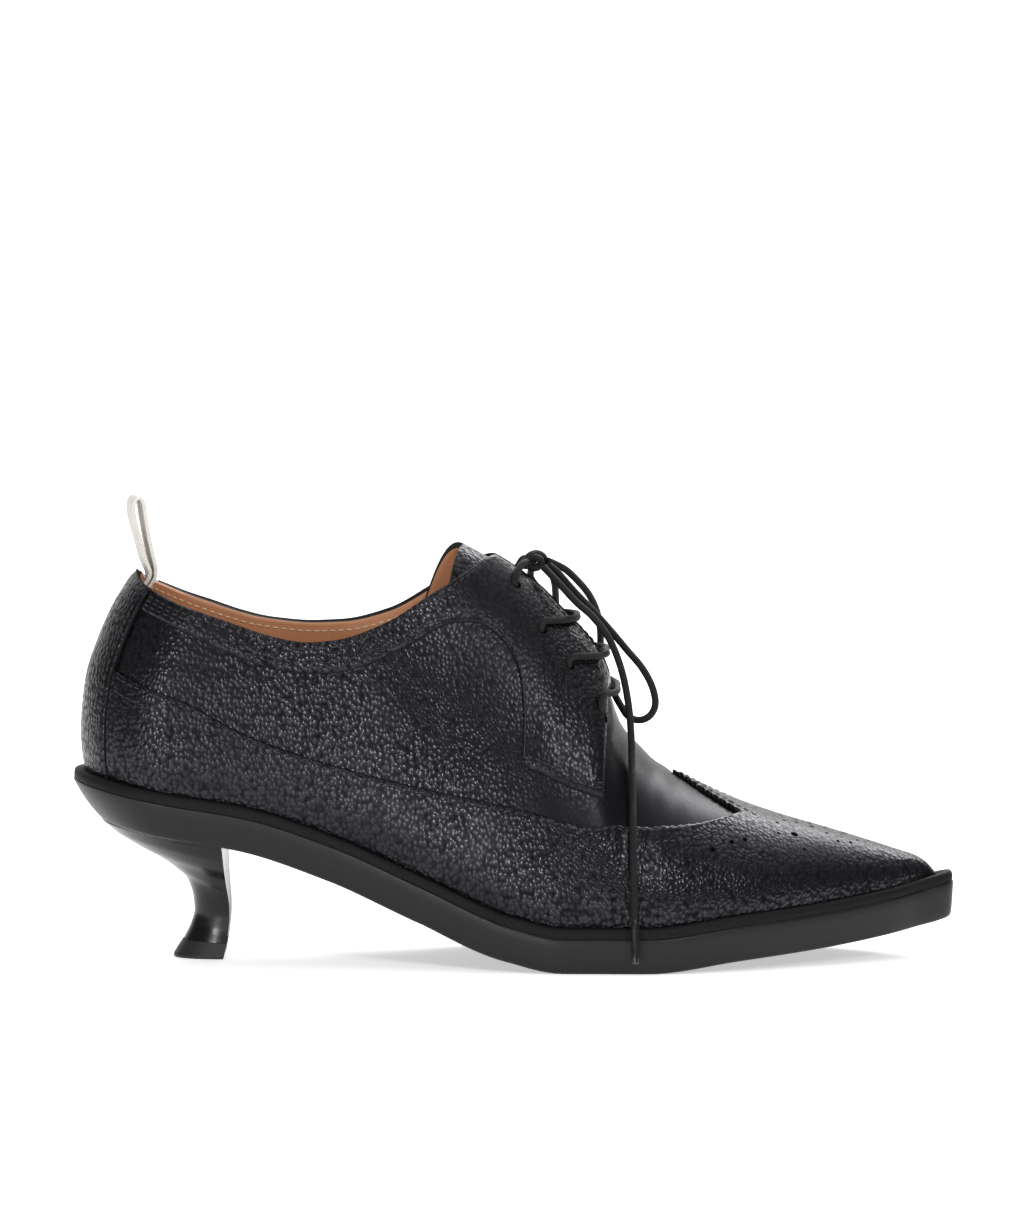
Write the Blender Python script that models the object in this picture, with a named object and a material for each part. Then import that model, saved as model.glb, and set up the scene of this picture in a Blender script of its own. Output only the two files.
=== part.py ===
"""Low-heeled lace-up brogue shoe for the right foot, modelled piece by piece.

The toe points to +X, the outer side of the foot to -Y and up is +Z.
All sizes are in millimetres and are turned into metres where a vertex is made.
"""

import math
from bisect import bisect_right
from collections import namedtuple

import bmesh
import bpy
from mathutils import Vector

MM = 0.001

# Driving dimensions of the shoe
LENGTH = 270.0
BALL_WIDTH = 86.0
INSTEP_HEIGHT = 124.0
HEEL_HEIGHT = 55.4

# Thicknesses and clearances
SOLE_THICKNESS = 10.6
WELT = 3.4
WELT_INSET = 0.4
WELT_TOP_INSET = 1.3
WELT_BEVEL_SHARE = 0.65
WALL = 2.0
INSOLE = 2.7
GAP = 0.3
OVERLAY_LOW = 0.5
OVERLAY_HIGH = 1.6
TONGUE_HIGH = -WALL - 0.8
TONGUE_LOW = TONGUE_HIGH - 1.6

# Sole plan: round heel seat, squared toe tip
SEAT_X = -105.0
SEAT_RADIUS = 30.0
TOE_CAP_X = 126.0
TOE_POWER = 3.0

# Last above the sole: heel turn, toe closing, how far the feather edge is set in and tucked
HEEL_X = -104.0
HEEL_RADIUS = 26.9
HEEL_GIRTH = 42.0
CLOSE_X = 116.0
TIP_X = 128.2
CLOSE_POWER = 2.2
SET_IN = 3.0
SET_IN_HEEL = 2.6
SET_IN_RUN = 50.0
TUCK = 2.2
TUCK_HEIGHT = 16.0
TUCK_FULL_HALF = 10.0
LEAN_END = -50.0
CREST_DRIFT = 3.5

# Lacing slot and throat
THROAT_X = 31.0
LACING_HALF_GAP = 6.0
FACING_LIFT = 1.0
FACING_LIFT_START = 20.0
FACING_LIFT_RUN = 10.0
FACING_LIFT_POWER = 1.5
CORNER_SOFTNESS = 0.14

# Lace
LACE_RADIUS = 1.1
BAR_DIP = 1.5
BAR_SEARCH = (-10.0, 40.0)
BAR_HALVINGS = 40
LACE_CLEARANCE = 0.5

SoleRow = namedtuple("SoleRow", "station rise lateral medial undercut")
SOLE_ROWS = (
    SoleRow(0.000, 1.000, 0.343, 0.343, 8.4),
    SoleRow(0.111, 0.896, 0.343, 0.343, 3.6),
    SoleRow(0.200, 0.823, 0.349, 0.331, 3.3),
    SoleRow(0.300, 0.666, 0.366, 0.308, 2.6),
    SoleRow(0.400, 0.454, 0.419, 0.326, 2.0),
    SoleRow(0.500, 0.248, 0.483, 0.401, 1.5),
    SoleRow(0.560, 0.191, 0.509, 0.448, 1.2),
    SoleRow(0.650, 0.191, 0.510, 0.488, 1.0),
    SoleRow(0.750, 0.244, 0.430, 0.448, 0.9),
    SoleRow(0.850, 0.290, 0.279, 0.331, 0.8),
    SoleRow(0.930, 0.345, 0.134, 0.203, 0.7),
    SoleRow(0.967, 0.381, 0.053, 0.128, 0.7),
    SoleRow(1.000, 0.422, 0.020, 0.100, 0.7),
)

# Sole side: share of the thickness, share of the undercut, extra rounding at the tread edge
SideRow = namedtuple("SideRow", "depth undercut rounding")
SIDE_ROWS = (
    SideRow(0.0, 0.0, 0.0),
    SideRow(0.5, 0.40, 0.0),
    SideRow(0.9, 0.87, 0.1),
    SideRow(1.0, 1.0, 0.9),
)

# Crest of the closed last (height as a share of the instep) and fullness of its sections
CrestRow = namedtuple("CrestRow", "x height fullness")
CREST_ROWS = (
    CrestRow(-105.0, 1.331, 2.05),
    CrestRow(-81.0, 1.290, 2.15),
    CrestRow(-54.0, 1.212, 2.70),
    CrestRow(-36.0, 1.137, 2.30),
    CrestRow(-24.0, 1.085, 2.10),
    CrestRow(-15.0, 1.048, 2.00),
    CrestRow(-4.0, 0.999, 1.96),
    CrestRow(7.2, 0.930, 1.95),
    CrestRow(14.5, 0.868, 1.95),
    CrestRow(20.8, 0.812, 1.96),
    CrestRow(24.0, 0.771, 1.98),
    CrestRow(27.0, 0.714, 2.00),
    CrestRow(29.8, 0.645, 2.02),
    CrestRow(32.6, 0.581, 2.04),
    CrestRow(37.2, 0.533, 2.05),
    CrestRow(46.3, 0.468, 2.05),
    CrestRow(60.0, 0.406, 2.05),
    CrestRow(78.4, 0.349, 2.08),
    CrestRow(96.8, 0.305, 2.12),
    CrestRow(115.0, 0.259, 2.18),
    CrestRow(123.0, 0.236, 2.20),
    CrestRow(128.3, 0.216, 2.20),
)

# How far the back of the upper leans forward at each height
LeanRow = namedtuple("LeanRow", "height lean")
LEAN_ROWS = (
    LeanRow(0.476, 0.0),
    LeanRow(0.589, 0.3),
    LeanRow(0.694, 1.7),
    LeanRow(0.786, 5.3),
    LeanRow(0.875, 10.2),
    LeanRow(0.956, 16.4),
)

# Edges drawn on the last: girth place and height
EdgeRow = namedtuple("EdgeRow", "girth height")
TOPLINE_ROWS = (
    EdgeRow(-146.0, 118.7),
    EdgeRow(-127.0, 114.5),
    EdgeRow(-107.8, 108.5),
    EdgeRow(-91.5, 104.1),
    EdgeRow(-77.6, 101.5),
    EdgeRow(-63.3, 100.3),
    EdgeRow(-53.0, 100.8),
    EdgeRow(-39.0, 104.5),
    EdgeRow(-24.3, 112.9),
    EdgeRow(-10.2, 121.5),
    EdgeRow(-3.8, 125.6),
    EdgeRow(4.0, 132.0),
)
WING_ROWS = (
    EdgeRow(-126.0, 90.0),
    EdgeRow(-119.0, 87.4),
    EdgeRow(-98.3, 79.7),
    EdgeRow(-81.5, 71.0),
    EdgeRow(-40.8, 58.2),
    EdgeRow(-1.0, 50.0),
    EdgeRow(29.8, 43.3),
    EdgeRow(50.9, 43.1),
    EdgeRow(69.0, 44.8),
)

# Facing and collar overlay: lower edge and the place its column meets the top edge
FacingRow = namedtuple("FacingRow", "girth height top_girth")
FACING_ROWS = (
    FacingRow(-124.0, 108.0, -124.0),
    FacingRow(-114.0, 104.8, -114.0),
    FacingRow(-104.0, 100.8, -104.0),
    FacingRow(-94.0, 96.8, -94.0),
    FacingRow(-84.0, 93.6, -84.0),
    FacingRow(-74.0, 91.0, -74.0),
    FacingRow(-64.0, 89.4, -64.0),
    FacingRow(-54.0, 89.8, -54.0),
    FacingRow(-45.0, 92.0, -45.0),
    FacingRow(-37.0, 95.4, -37.0),
    FacingRow(-30.0, 99.0, -30.0),
    FacingRow(-24.0, 102.4, -24.0),
    FacingRow(-18.0, 104.6, -18.0),
    FacingRow(-12.0, 104.8, -12.0),
    FacingRow(-7.0, 102.8, -7.0),
    FacingRow(-2.0, 98.0, -2.0),
    FacingRow(1.6, 91.0, 1.0),
    FacingRow(3.2, 83.0, 4.0),
    FacingRow(3.8, 73.0, 8.0),
    FacingRow(3.5, 63.0, 12.0),
    FacingRow(9.0, 60.0, 16.0),
    FacingRow(15.0, 57.0, 20.0),
    FacingRow(21.0, 54.6, 25.0),
    FacingRow(27.4, 52.0, 29.8),
)

# Heel block: back and front of each level, and half its width
HeelRow = namedtuple("HeelRow", "back_x back_z front_x front_z half")
HEEL_ROWS = (
    HeelRow(-122.0, 39.0, -88.2, 31.5, 22.5),
    HeelRow(-115.5, 35.0, -88.0, 28.0, 19.0),
    HeelRow(-109.0, 31.5, -87.8, 25.0, 15.5),
    HeelRow(-104.0, 28.0, -87.5, 22.0, 13.0),
    HeelRow(-100.3, 24.5, -87.2, 19.5, 11.0),
    HeelRow(-98.3, 18.5, -86.9, 16.0, 9.3),
    HeelRow(-98.0, 14.5, -86.9, 13.0, 8.6),
    HeelRow(-99.0, 10.5, -87.2, 9.5, 8.6),
    HeelRow(-101.2, 6.0, -87.8, 5.0, 9.0),
)
TOP_PIECE_ROWS = (
    HeelRow(-101.4, 5.7, -87.9, 4.7, 9.0),
    HeelRow(-103.4, 2.6, -88.3, 2.2, 9.5),
    HeelRow(-104.4, 0.7, -88.6, 0.7, 9.8),
    HeelRow(-104.1, 0.0, -88.9, 0.0, 9.4),
)
HEEL_SEAT_BACK = -126.2
HEEL_SEAT_FRONT = -88.5
HEEL_SEAT_HALF = 25.3
HEEL_POWER = 2.4
HEEL_TURNS = (0, 10, 20, 32, 45, 60, 75, 90)
BREAST_HOLLOW = 1.2

# Places where sections are taken: degrees round the heel, along the shoe, degrees round the toe
SEAT_TURNS = (0, 14, 28, 44, 60, 76)
FOOT_STATIONS = (
    -105, -92, -80, -67, -54, -40, -27, -14, -4, 4, 10, 16.2, 28.2, 40.5, 54, 67.5, 81, 94.5, 106, 116,
)
TOE_TURNS = (0, 26, 48, 70, 90)
TOE_START_SOLE = 122.0
TOE_START_LAST = 119.0

UPPER_TURNS = (0, 11, 22, 33, 45, 58, 72)
UPPER_STATIONS = (
    -104, -94, -84, -74, -64, -54, -45, -37, -30, -24, -18, -12, -7, -2, 3, 8, 12, 16, 20, 25, 28.5,
    31, 34, 38, 43, 48.8, 52, 55, 58.5, 62, 65.5, 69, 78, 86, 94, 102, 110, 116, 120, 123.5, 126, 127.5,
    128.2,
)
UPPER_LEVELS = (0.0, 0.08, 0.17, 0.28, 0.41, 0.55, 0.70, 0.85, 1.0)

WING_PEAK_X = 48.8
WING_VALLEY_X = 69.0
WING_VALLEY_SHARE = 0.62
WING_BLEND_RUN = 30.0
WING_TURNS = (45, 58, 72)
WING_LOW_LEVELS = (0.0, 0.13, 0.30, 0.52, 0.76, 1.0)
WING_HIGH_LEVELS = (0.0, 0.33, 0.67, 1.0)
OVERLAY_FOOT = WELT + 0.5
PANEL_TURNS = (0, 11, 22, 33, 43)
PANEL_LEVELS = (0.0, 0.14, 0.28, 0.42, 0.56, 0.70, 0.85, 1.0)
FACING_LEVELS = (0.0, 0.17, 0.34, 0.50, 0.67, 0.84, 1.0)

# Tongue: place on the crest, how far its side edge trails behind, half width
TongueRow = namedtuple("TongueRow", "crest_x trail half")
TONGUE_ROWS = (
    TongueRow(38.0, 0.0, 21.0),
    TongueRow(32.0, 0.0, 21.0),
    TongueRow(27.0, 0.5, 21.0),
    TongueRow(21.0, 1.0, 21.0),
    TongueRow(14.0, 2.0, 21.0),
    TongueRow(6.0, 3.5, 21.0),
    TongueRow(-2.0, 5.5, 21.0),
    TongueRow(-9.0, 7.5, 20.5),
    TongueRow(-15.0, 9.5, 19.5),
)
TONGUE_LEVELS = (0.0, 0.25, 0.5, 0.75, 1.0)

# Eyelets that carry a bar: girth place of the outer one, and both distances from the crest line
EyeletRow = namedtuple("EyeletRow", "girth lateral medial")
EYELET_ROWS = (
    EyeletRow(8.4, 18.6, 15.6),
    EyeletRow(16.8, 21.0, 17.8),
    EyeletRow(26.7, 23.4, 19.8),
)
BAR_SHARES = (-1.0, -0.72, -0.44, -0.16, 0.16, 0.44, 0.72, 1.0)

# Bow: places along each run of the lace, chosen by hand
KNOT_CENTRE = (6.4, -1.0, 121.4)
KNOT_SIZE = (7.6, 10.6, 5.6)
TOP_LATERAL_ROUTE = (
    (-0.8, -18.8, 113.6),
    (0.3, -14.8, 118.4),
    (1.8, -10.4, 121.4),
    (3.5, -6.2, 121.8),
)
TOP_MEDIAL_ROUTE = (
    (-0.6, 15.6, 113.4),
    (0.6, 11.9, 118.8),
    (2.0, 7.9, 121.8),
    (3.5, 4.2, 122.0),
)
LOOP_LATERAL_ROUTE = (
    (10.8, -1.8, 120.6),
    (13.8, -2.4, 118.0),
    (18.4, -3.2, 112.8),
    (24.6, -4.0, 106.4),
    (29.8, -4.6, 100.6),
    (34.7, -5.2, 94.8),
    (39.0, -6.0, 89.8),
    (42.0, -6.7, 84.6),
    (43.3, -7.2, 79.8),
    (42.8, -7.6, 76.6),
    (40.8, -7.8, 74.3),
    (37.8, -7.6, 73.6),
    (34.9, -6.8, 74.8),
    (32.9, -5.6, 77.6),
    (30.6, -3.8, 81.5),
    (27.9, -2.7, 86.2),
    (25.2, -2.2, 91.2),
    (21.0, -1.9, 98.0),
    (16.4, -1.8, 103.6),
    (12.0, -1.8, 108.4),
    (8.0, -1.7, 112.9),
    (5.6, -1.6, 116.0),
    (4.9, -1.6, 117.9),
)
LOOP_MEDIAL_ROUTE = (
    (10.4, 1.1, 121.7),
    (15.4, 4.0, 119.0),
    (19.3, 7.4, 115.2),
    (23.1, 11.6, 110.2),
    (25.7, 16.4, 104.0),
    (26.6, 21.2, 97.0),
    (26.4, 26.0, 88.6),
    (25.9, 29.2, 81.8),
    (25.1, 31.4, 77.0),
    (23.6, 32.8, 73.6),
    (20.8, 33.6, 71.7),
    (17.5, 33.6, 71.9),
    (14.9, 32.8, 74.1),
    (13.7, 31.2, 77.8),
    (13.2, 28.4, 84.0),
    (12.6, 25.8, 92.8),
    (12.7, 22.2, 101.2),
    (12.8, 17.6, 108.6),
    (12.4, 12.2, 114.0),
    (11.2, 7.4, 117.6),
    (9.2, 3.2, 120.0),
)
END_LATERAL_ROUTE = (
    (9.2, -5.2, 120.2),
    (13.6, -7.6, 115.8),
    (19.2, -8.8, 109.8),
    (24.4, -9.6, 105.2),
    (29.4, -10.6, 98.4),
    (32.9, -12.2, 89.6),
    (35.0, -14.4, 79.6),
    (35.9, -17.4, 69.8),
    (36.1, -21.4, 62.4),
    (36.2, -26.6, 57.2),
    (36.3, -31.6, 51.2),
    (36.4, -37.2, 44.8),
    (36.5, -41.4, 34.8),
    (36.7, -44.0, 26.8),
    (36.8, -45.6, 20.4),
    (36.9, -46.2, 16.9),
)
END_MEDIAL_ROUTE = (
    (6.2, 5.0, 121.4),
    (5.4, 9.8, 118.8),
    (4.8, 14.6, 114.2),
    (4.2, 20.0, 105.2),
    (4.0, 24.6, 95.2),
    (4.0, 29.0, 81.6),
    (4.2, 32.2, 66.0),
    (4.4, 34.2, 52.0),
    (4.6, 35.4, 41.0),
    (4.8, 36.4, 31.0),
    (5.0, 37.4, 24.0),
)
AGLET_LENGTH = 12.8
AGLET_RADIUS = 1.3
ROUTE_SPACING = 5.5
ROUTE_STEPS = 12

# Pull loop of folded tape, seen from the side
LOOP_WIDTH = 9.6
LOOP_TAPE = 1.0
PULL_LOOP_ROUTE = (
    (-116.0, 109.6),
    (-113.6, 113.6),
    (-111.7, 117.6),
    (-113.4, 122.6),
    (-115.0, 128.6),
    (-116.6, 134.6),
    (-117.0, 138.4),
    (-116.2, 140.8),
    (-114.9, 141.1),
    (-113.9, 139.2),
    (-113.3, 135.0),
    (-112.2, 128.6),
    (-110.9, 122.6),
    (-110.0, 117.0),
    (-112.1, 112.9),
    (-114.6, 108.8),
)


def smooth_curve(rows, key, column):
    """Monotone cubic curve through one column of a table, held level beyond its ends."""
    knots = [getattr(row, key) for row in rows]
    values = [getattr(row, column) for row in rows]
    spans = [high - low for low, high in zip(knots, knots[1:])]
    rates = [(high - low) / span for low, high, span in zip(values, values[1:], spans)]
    slopes = [rates[0]]
    for before, after, span_before, span_after in zip(rates, rates[1:], spans, spans[1:]):
        if before * after <= 0:
            slopes.append(0.0)
            continue
        weight_before = span_before + 2 * span_after
        weight_after = 2 * span_before + span_after
        total = weight_before + weight_after
        slopes.append(total / (weight_before / before + weight_after / after))
    slopes.append(rates[-1])

    def at(place):
        if place <= knots[0]:
            return values[0]
        if place >= knots[-1]:
            return values[-1]
        i = bisect_right(knots, place) - 1
        t = (place - knots[i]) / spans[i]
        rise = t * t * (3 - 2 * t)
        lead = t * (1 - t) ** 2 * slopes[i] + t * t * (t - 1) * slopes[i + 1]
        return values[i] + (values[i + 1] - values[i]) * rise + lead * spans[i]

    return at


rise_share = smooth_curve(SOLE_ROWS, "station", "rise")
lateral_share = smooth_curve(SOLE_ROWS, "station", "lateral")
medial_share = smooth_curve(SOLE_ROWS, "station", "medial")
undercut_at = smooth_curve(SOLE_ROWS, "station", "undercut")
crest_share = smooth_curve(CREST_ROWS, "x", "height")
fullness_at = smooth_curve(CREST_ROWS, "x", "fullness")
lean_share = smooth_curve(LEAN_ROWS, "height", "lean")
topline_at = smooth_curve(TOPLINE_ROWS, "girth", "height")
wing_edge_at = smooth_curve(WING_ROWS, "girth", "height")

LATERAL = -1
MEDIAL = 1


def mix(low, high, share):
    return low + (high - low) * share


def ease(share):
    """Soft step from 0 to 1."""
    share = min(1.0, max(0.0, share))
    return share * share * (3 - 2 * share)


def station(x):
    return (x + LENGTH / 2) / LENGTH


def slope(curve, x):
    return (curve(x + 0.5) - curve(x - 0.5))


def sole_top(x):
    return HEEL_HEIGHT * rise_share(station(x))


def sole_bottom(x):
    thickness = SOLE_THICKNESS * math.hypot(1.0, slope(sole_top, x))
    return max(0.0, sole_top(x) - thickness)


def crest_y(x):
    return CREST_DRIFT * (max(0.0, x) / (LENGTH / 2)) ** 2


def side_width(x, side):
    """Distance from the crest line to the edge of the sole, before heel and toe round off."""
    share = lateral_share if side == LATERAL else medial_share
    return share(station(x)) * BALL_WIDTH - side * crest_y(x)


def sole_edge(x, side):
    """Edge of the sole in plan at one place along the shoe."""
    width = side_width(x, side)
    if x < SEAT_X:
        width *= math.sqrt(max(0.0, 1 - ((SEAT_X - x) / SEAT_RADIUS) ** 2))
    if x > TOE_CAP_X:
        reach = (x - TOE_CAP_X) / (LENGTH / 2 - TOE_CAP_X)
        width *= max(0.0, 1 - reach ** TOE_POWER) ** (1 / TOE_POWER)
    return Vector((x, crest_y(x) + side * width, 0.0))


def sole_columns():
    """Places along the sole where its sections are taken, heel to toe."""
    turned = [SEAT_X - SEAT_RADIUS * math.cos(math.radians(turn)) for turn in SEAT_TURNS]
    reach = LENGTH / 2 - TOE_START_SOLE
    toe = [TOE_START_SOLE + reach * math.sin(math.radians(turn)) for turn in TOE_TURNS]
    return turned + list(FOOT_STATIONS) + toe


def last_columns():
    """Places along the last that match the sole's columns one by one."""
    turned = [girth_at_turn(turn) for turn in SEAT_TURNS]
    reach = TIP_X - TOE_START_LAST
    toe = [TOE_START_LAST + reach * math.sin(math.radians(turn)) for turn in TOE_TURNS]
    return turned + list(FOOT_STATIONS) + toe


def both_sides(columns, place):
    """Closed loop of places: heel to toe on the outer side and back on the inner side."""
    outer = [place(column, LATERAL) for column in columns]
    inner = [place(column, MEDIAL) for column in columns[1:-1]]
    return outer + inner[::-1]


def inset_loop(loop, depth_at):
    """Loop moved inwards in plan, at right angles to its own run."""
    moved = []
    for i, point in enumerate(loop):
        run = loop[(i + 1) % len(loop)] - loop[i - 1]
        inward = Vector((-run.y, run.x, 0.0)).normalized()
        moved.append(point + inward * depth_at(point.x))
    return moved


def girth_at_turn(turn):
    """Girth place for an angle round the heel, 0 at the back and 90 at the side."""
    return HEEL_X - HEEL_GIRTH * (1 - turn / 90)


def last_place(girth):
    """Foot place, sine and cosine of the heel turn, and share of the toe closing."""
    if girth < HEEL_X:
        turn = math.radians(90 * (1 - (HEEL_X - girth) / HEEL_GIRTH))
        return HEEL_X - HEEL_RADIUS * math.cos(turn), math.sin(turn), math.cos(turn), 0.0
    toe = max(0.0, (girth - CLOSE_X) / (TIP_X - CLOSE_X))
    return girth, 1.0, 0.0, min(1.0, toe)


def feather_height(girth):
    return sole_top(last_place(girth)[0]) + GAP


def crest_height(x):
    return INSTEP_HEIGHT * crest_share(x)


def section_height(girth, grow):
    """Height of a closed section above the feather edge."""
    x = max(girth, HEEL_X)
    return crest_height(x) + grow * math.hypot(1.0, slope(crest_height, x)) - feather_height(girth)


def section_half(girth, side, grow):
    """Half width of a closed section on one side, and the toe closing in it."""
    x = max(girth, HEEL_X)
    set_in = mix(SET_IN_HEEL, SET_IN, ease((x - HEEL_X) / SET_IN_RUN))
    flare = math.hypot(1.0, side_width(x + 0.5, side) - side_width(x - 0.5, side))
    toe = last_place(girth)[3]
    closing = max(0.0, 1 - toe ** CLOSE_POWER) ** (1 / CLOSE_POWER)
    return (side_width(x, side) - set_in + grow * flare) * closing


def angle_at_height(girth, height):
    """Section angle, 0 at the feather edge and 90 degrees at the crest, for a height."""
    share = (height - feather_height(girth)) / section_height(girth, 0.0)
    share = min(1.0, max(0.0, share))
    return math.asin(share ** (fullness_at(max(girth, HEEL_X)) / 2))


def angle_at_offset(girth, side, offset):
    """Section angle at a distance from the crest line."""
    share = min(1.0, offset / section_half(girth, side, 0.0))
    return math.acos(share ** (fullness_at(girth) / 2))


def last_point(girth, angle, side, grow):
    """Point on the last, or on a form larger (grow > 0) or smaller than it."""
    foot_x, turn_sine, turn_cosine, toe = last_place(girth)
    power = 2 / fullness_at(max(girth, HEEL_X))
    base = feather_height(girth)
    rise = section_height(girth, grow) * max(0.0, math.sin(angle)) ** power
    across = max(0.0, math.cos(angle)) ** power
    if math.cos(angle) < 1e-6:
        across = 0.0
    half = section_half(girth, side, grow)
    tuck = TUCK * max(0.0, 1 - rise / TUCK_HEIGHT) ** 2 * min(1.0, half / TUCK_FULL_HALF)
    lean = lean_share((base + rise) / INSTEP_HEIGHT)
    y = crest_y(foot_x) + side * (half - tuck) * across * turn_sine
    if girth < HEEL_X:
        x = HEEL_X + lean - (HEEL_RADIUS + grow - tuck) * turn_cosine
    else:
        x = girth + lean * ease((girth - LEAN_END) / (HEEL_X - LEAN_END)) + grow * toe
    return Vector((x, y, base + rise))


def opening_angle(girth, side):
    """Top edge of the upper: collar, then the lacing slot, then closed over the vamp."""
    if girth >= THROAT_X:
        return math.pi / 2
    collar = angle_at_height(girth, topline_at(girth))
    if girth < LEAN_END:
        return collar
    slot = angle_at_offset(girth, side, LACING_HALF_GAP)
    overlap = max(0.0, CORNER_SOFTNESS - abs(collar - slot)) / CORNER_SOFTNESS
    return min(collar, slot) - overlap ** 2 * CORNER_SOFTNESS / 4


def facing_lift(girth, share):
    """How far the facing stands off the vamp towards its loose front corner."""
    forward = ease((girth - FACING_LIFT_START) / FACING_LIFT_RUN)
    return FACING_LIFT * share ** FACING_LIFT_POWER * forward


# Making of meshes

def make_material(name, colour, roughness):
    material = bpy.data.materials.new(name)
    material.use_nodes = True
    shader = material.node_tree.nodes["Principled BSDF"]
    shader.inputs["Base Color"].default_value = (*colour, 1.0)
    shader.inputs["Roughness"].default_value = roughness
    return material


def add_object(name, data, material):
    data.materials.append(material)
    piece = bpy.data.objects.new(name, data)
    bpy.context.scene.collection.objects.link(piece)
    piece.parent = SHOE
    return piece


def add_mesh(name, mesh, material):
    """Object from a finished bmesh, in triangles, faces outwards and smooth."""
    bmesh.ops.recalc_face_normals(mesh, faces=mesh.faces)
    bmesh.ops.triangulate(mesh, faces=mesh.faces)
    data = bpy.data.meshes.new(name)
    mesh.to_mesh(data)
    mesh.free()
    data.shade_smooth()
    return add_object(name, data, material)


def add_face(mesh, corners):
    kept = list(dict.fromkeys(corners))
    if len(kept) > 2:
        mesh.faces.new(kept)


def loop_verts(mesh, loop):
    return [mesh.verts.new(point * MM) for point in loop]


def bridge(mesh, low, high):
    for i in range(len(low)):
        add_face(mesh, (low[i - 1], low[i], high[i], high[i - 1]))


def ladder_cap(mesh, loop):
    """Cap a loop with rungs between the matching places of its two sides."""
    for i in range(len(loop) // 2):
        add_face(mesh, (loop[i], loop[i + 1], loop[-i - 1], loop[-i]))


def stack(name, loops, material):
    """Closed solid through a stack of loops."""
    mesh = bmesh.new()
    rings = [loop_verts(mesh, loop) for loop in loops]
    for low, high in zip(rings, rings[1:]):
        bridge(mesh, low, high)
    ladder_cap(mesh, rings[0])
    ladder_cap(mesh, rings[-1])
    return add_mesh(name, mesh, material)


def ring(name, loops, material):
    """Closed ring through loops taken round its cross-section."""
    mesh = bmesh.new()
    rings = [loop_verts(mesh, loop) for loop in loops]
    for i in range(len(rings)):
        bridge(mesh, rings[i - 1], rings[i])
    return add_mesh(name, mesh, material)


def shell(name, sheets, material):
    """Closed wall: sheets of paired outer and inner points, joined where they meet."""
    mesh = bmesh.new()
    inner_layer = mesh.verts.layers.float_vector.new("inner")
    for sheet in sheets:
        rows = []
        for column in sheet:
            row = loop_verts(mesh, [outer for outer, inner in column])
            for vert, (outer, inner) in zip(row, column):
                vert[inner_layer] = inner * MM
            rows.append(row)
        for low, high in zip(rows, rows[1:]):
            for i in range(len(low) - 1):
                mesh.faces.new((low[i], high[i], high[i + 1], low[i + 1]))
    bmesh.ops.remove_doubles(mesh, verts=mesh.verts, dist=1e-6)
    wall = bmesh.ops.extrude_face_region(mesh, geom=mesh.faces[:], use_keep_orig=True)
    for item in wall["geom"]:
        if isinstance(item, bmesh.types.BMVert):
            item.co = item[inner_layer]
    return add_mesh(name, mesh, material)


def smooth_route(route):
    """Even places along a smooth curve through the route's own points."""
    points = [Vector(point) for point in route]
    fine = []
    for i in range(len(points) - 1):
        before = points[max(0, i - 1)]
        start, end = points[i], points[i + 1]
        after = points[min(len(points) - 1, i + 2)]
        for step in range(ROUTE_STEPS):
            t = step / ROUTE_STEPS
            fine.append(0.5 * (2 * start + (end - before) * t
                               + (2 * before - 5 * start + 4 * end - after) * t ** 2
                               + (3 * start - before - 3 * end + after) * t ** 3))
    fine.append(points[-1])
    reach = [0.0]
    for low, high in zip(fine, fine[1:]):
        reach.append(reach[-1] + (high - low).length)
    count = max(2, round(reach[-1] / ROUTE_SPACING))
    even = []
    for k in range(count + 1):
        wanted = reach[-1] * k / count
        i = min(len(fine) - 2, bisect_right(reach, wanted) - 1)
        share = (wanted - reach[i]) / (reach[i + 1] - reach[i])
        even.append(fine[i].lerp(fine[i + 1], share))
    return even


def tube(name, points, radius, material):
    """Round cord with filled ends."""
    data = bpy.data.curves.new(name, "CURVE")
    data.dimensions = "3D"
    data.bevel_depth = radius * MM
    data.bevel_resolution = 2
    data.use_fill_caps = True
    spline = data.splines.new("POLY")
    spline.points.add(len(points) - 1)
    for knot, point in zip(spline.points, points):
        knot.co = (*(point * MM), 1.0)
    return add_object(name, data, material)


# Sole, heel and welt

def sole_loop(row):
    """Outline of the sole at one level of its side."""
    def depth(x):
        return undercut_at(station(x)) * row.undercut + row.rounding

    loop = inset_loop(both_sides(sole_columns(), sole_edge), depth)
    for point in loop:
        point.z = mix(sole_top(point.x), sole_bottom(point.x), row.depth)
    return loop


def d_loop(row, height_at):
    """D-shaped level of the heel: hollow breast, then round the back."""
    reach = row.front_x - row.back_x
    outer = []
    for turn in HEEL_TURNS:
        angle = math.radians(turn)
        x = row.front_x - reach * math.sin(angle) ** (2 / HEEL_POWER)
        y = -row.half * max(0.0, math.cos(angle)) ** (2 / HEEL_POWER)
        outer.append(Vector((x, y if turn < 90 else 0.0, 0.0)))
    inner = [Vector((point.x, -point.y, 0.0)) for point in outer[:-1]]
    loop = [Vector((row.front_x - BREAST_HOLLOW, 0.0, 0.0))] + outer + inner[::-1]
    for point in loop:
        point.z = height_at(point.x)
    return loop


def heel_level(row):
    """Level of the heel on a plane that tilts from its back to its front."""
    def height(x):
        return mix(row.back_z, row.front_z, (x - row.back_x) / (row.front_x - row.back_x))

    return d_loop(row, height)


def build_outsole(material):
    stack("outsole", [sole_loop(row) for row in SIDE_ROWS], material)


def build_heel(material, tread_material):
    seat = HeelRow(HEEL_SEAT_BACK, 0.0, HEEL_SEAT_FRONT, 0.0, HEEL_SEAT_HALF)
    levels = [d_loop(seat, lambda x: sole_bottom(x) - GAP)]
    levels += [heel_level(row) for row in HEEL_ROWS]
    stack("heel", levels, material)
    stack("heel_top_piece", [heel_level(row) for row in TOP_PIECE_ROWS], tread_material)


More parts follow.
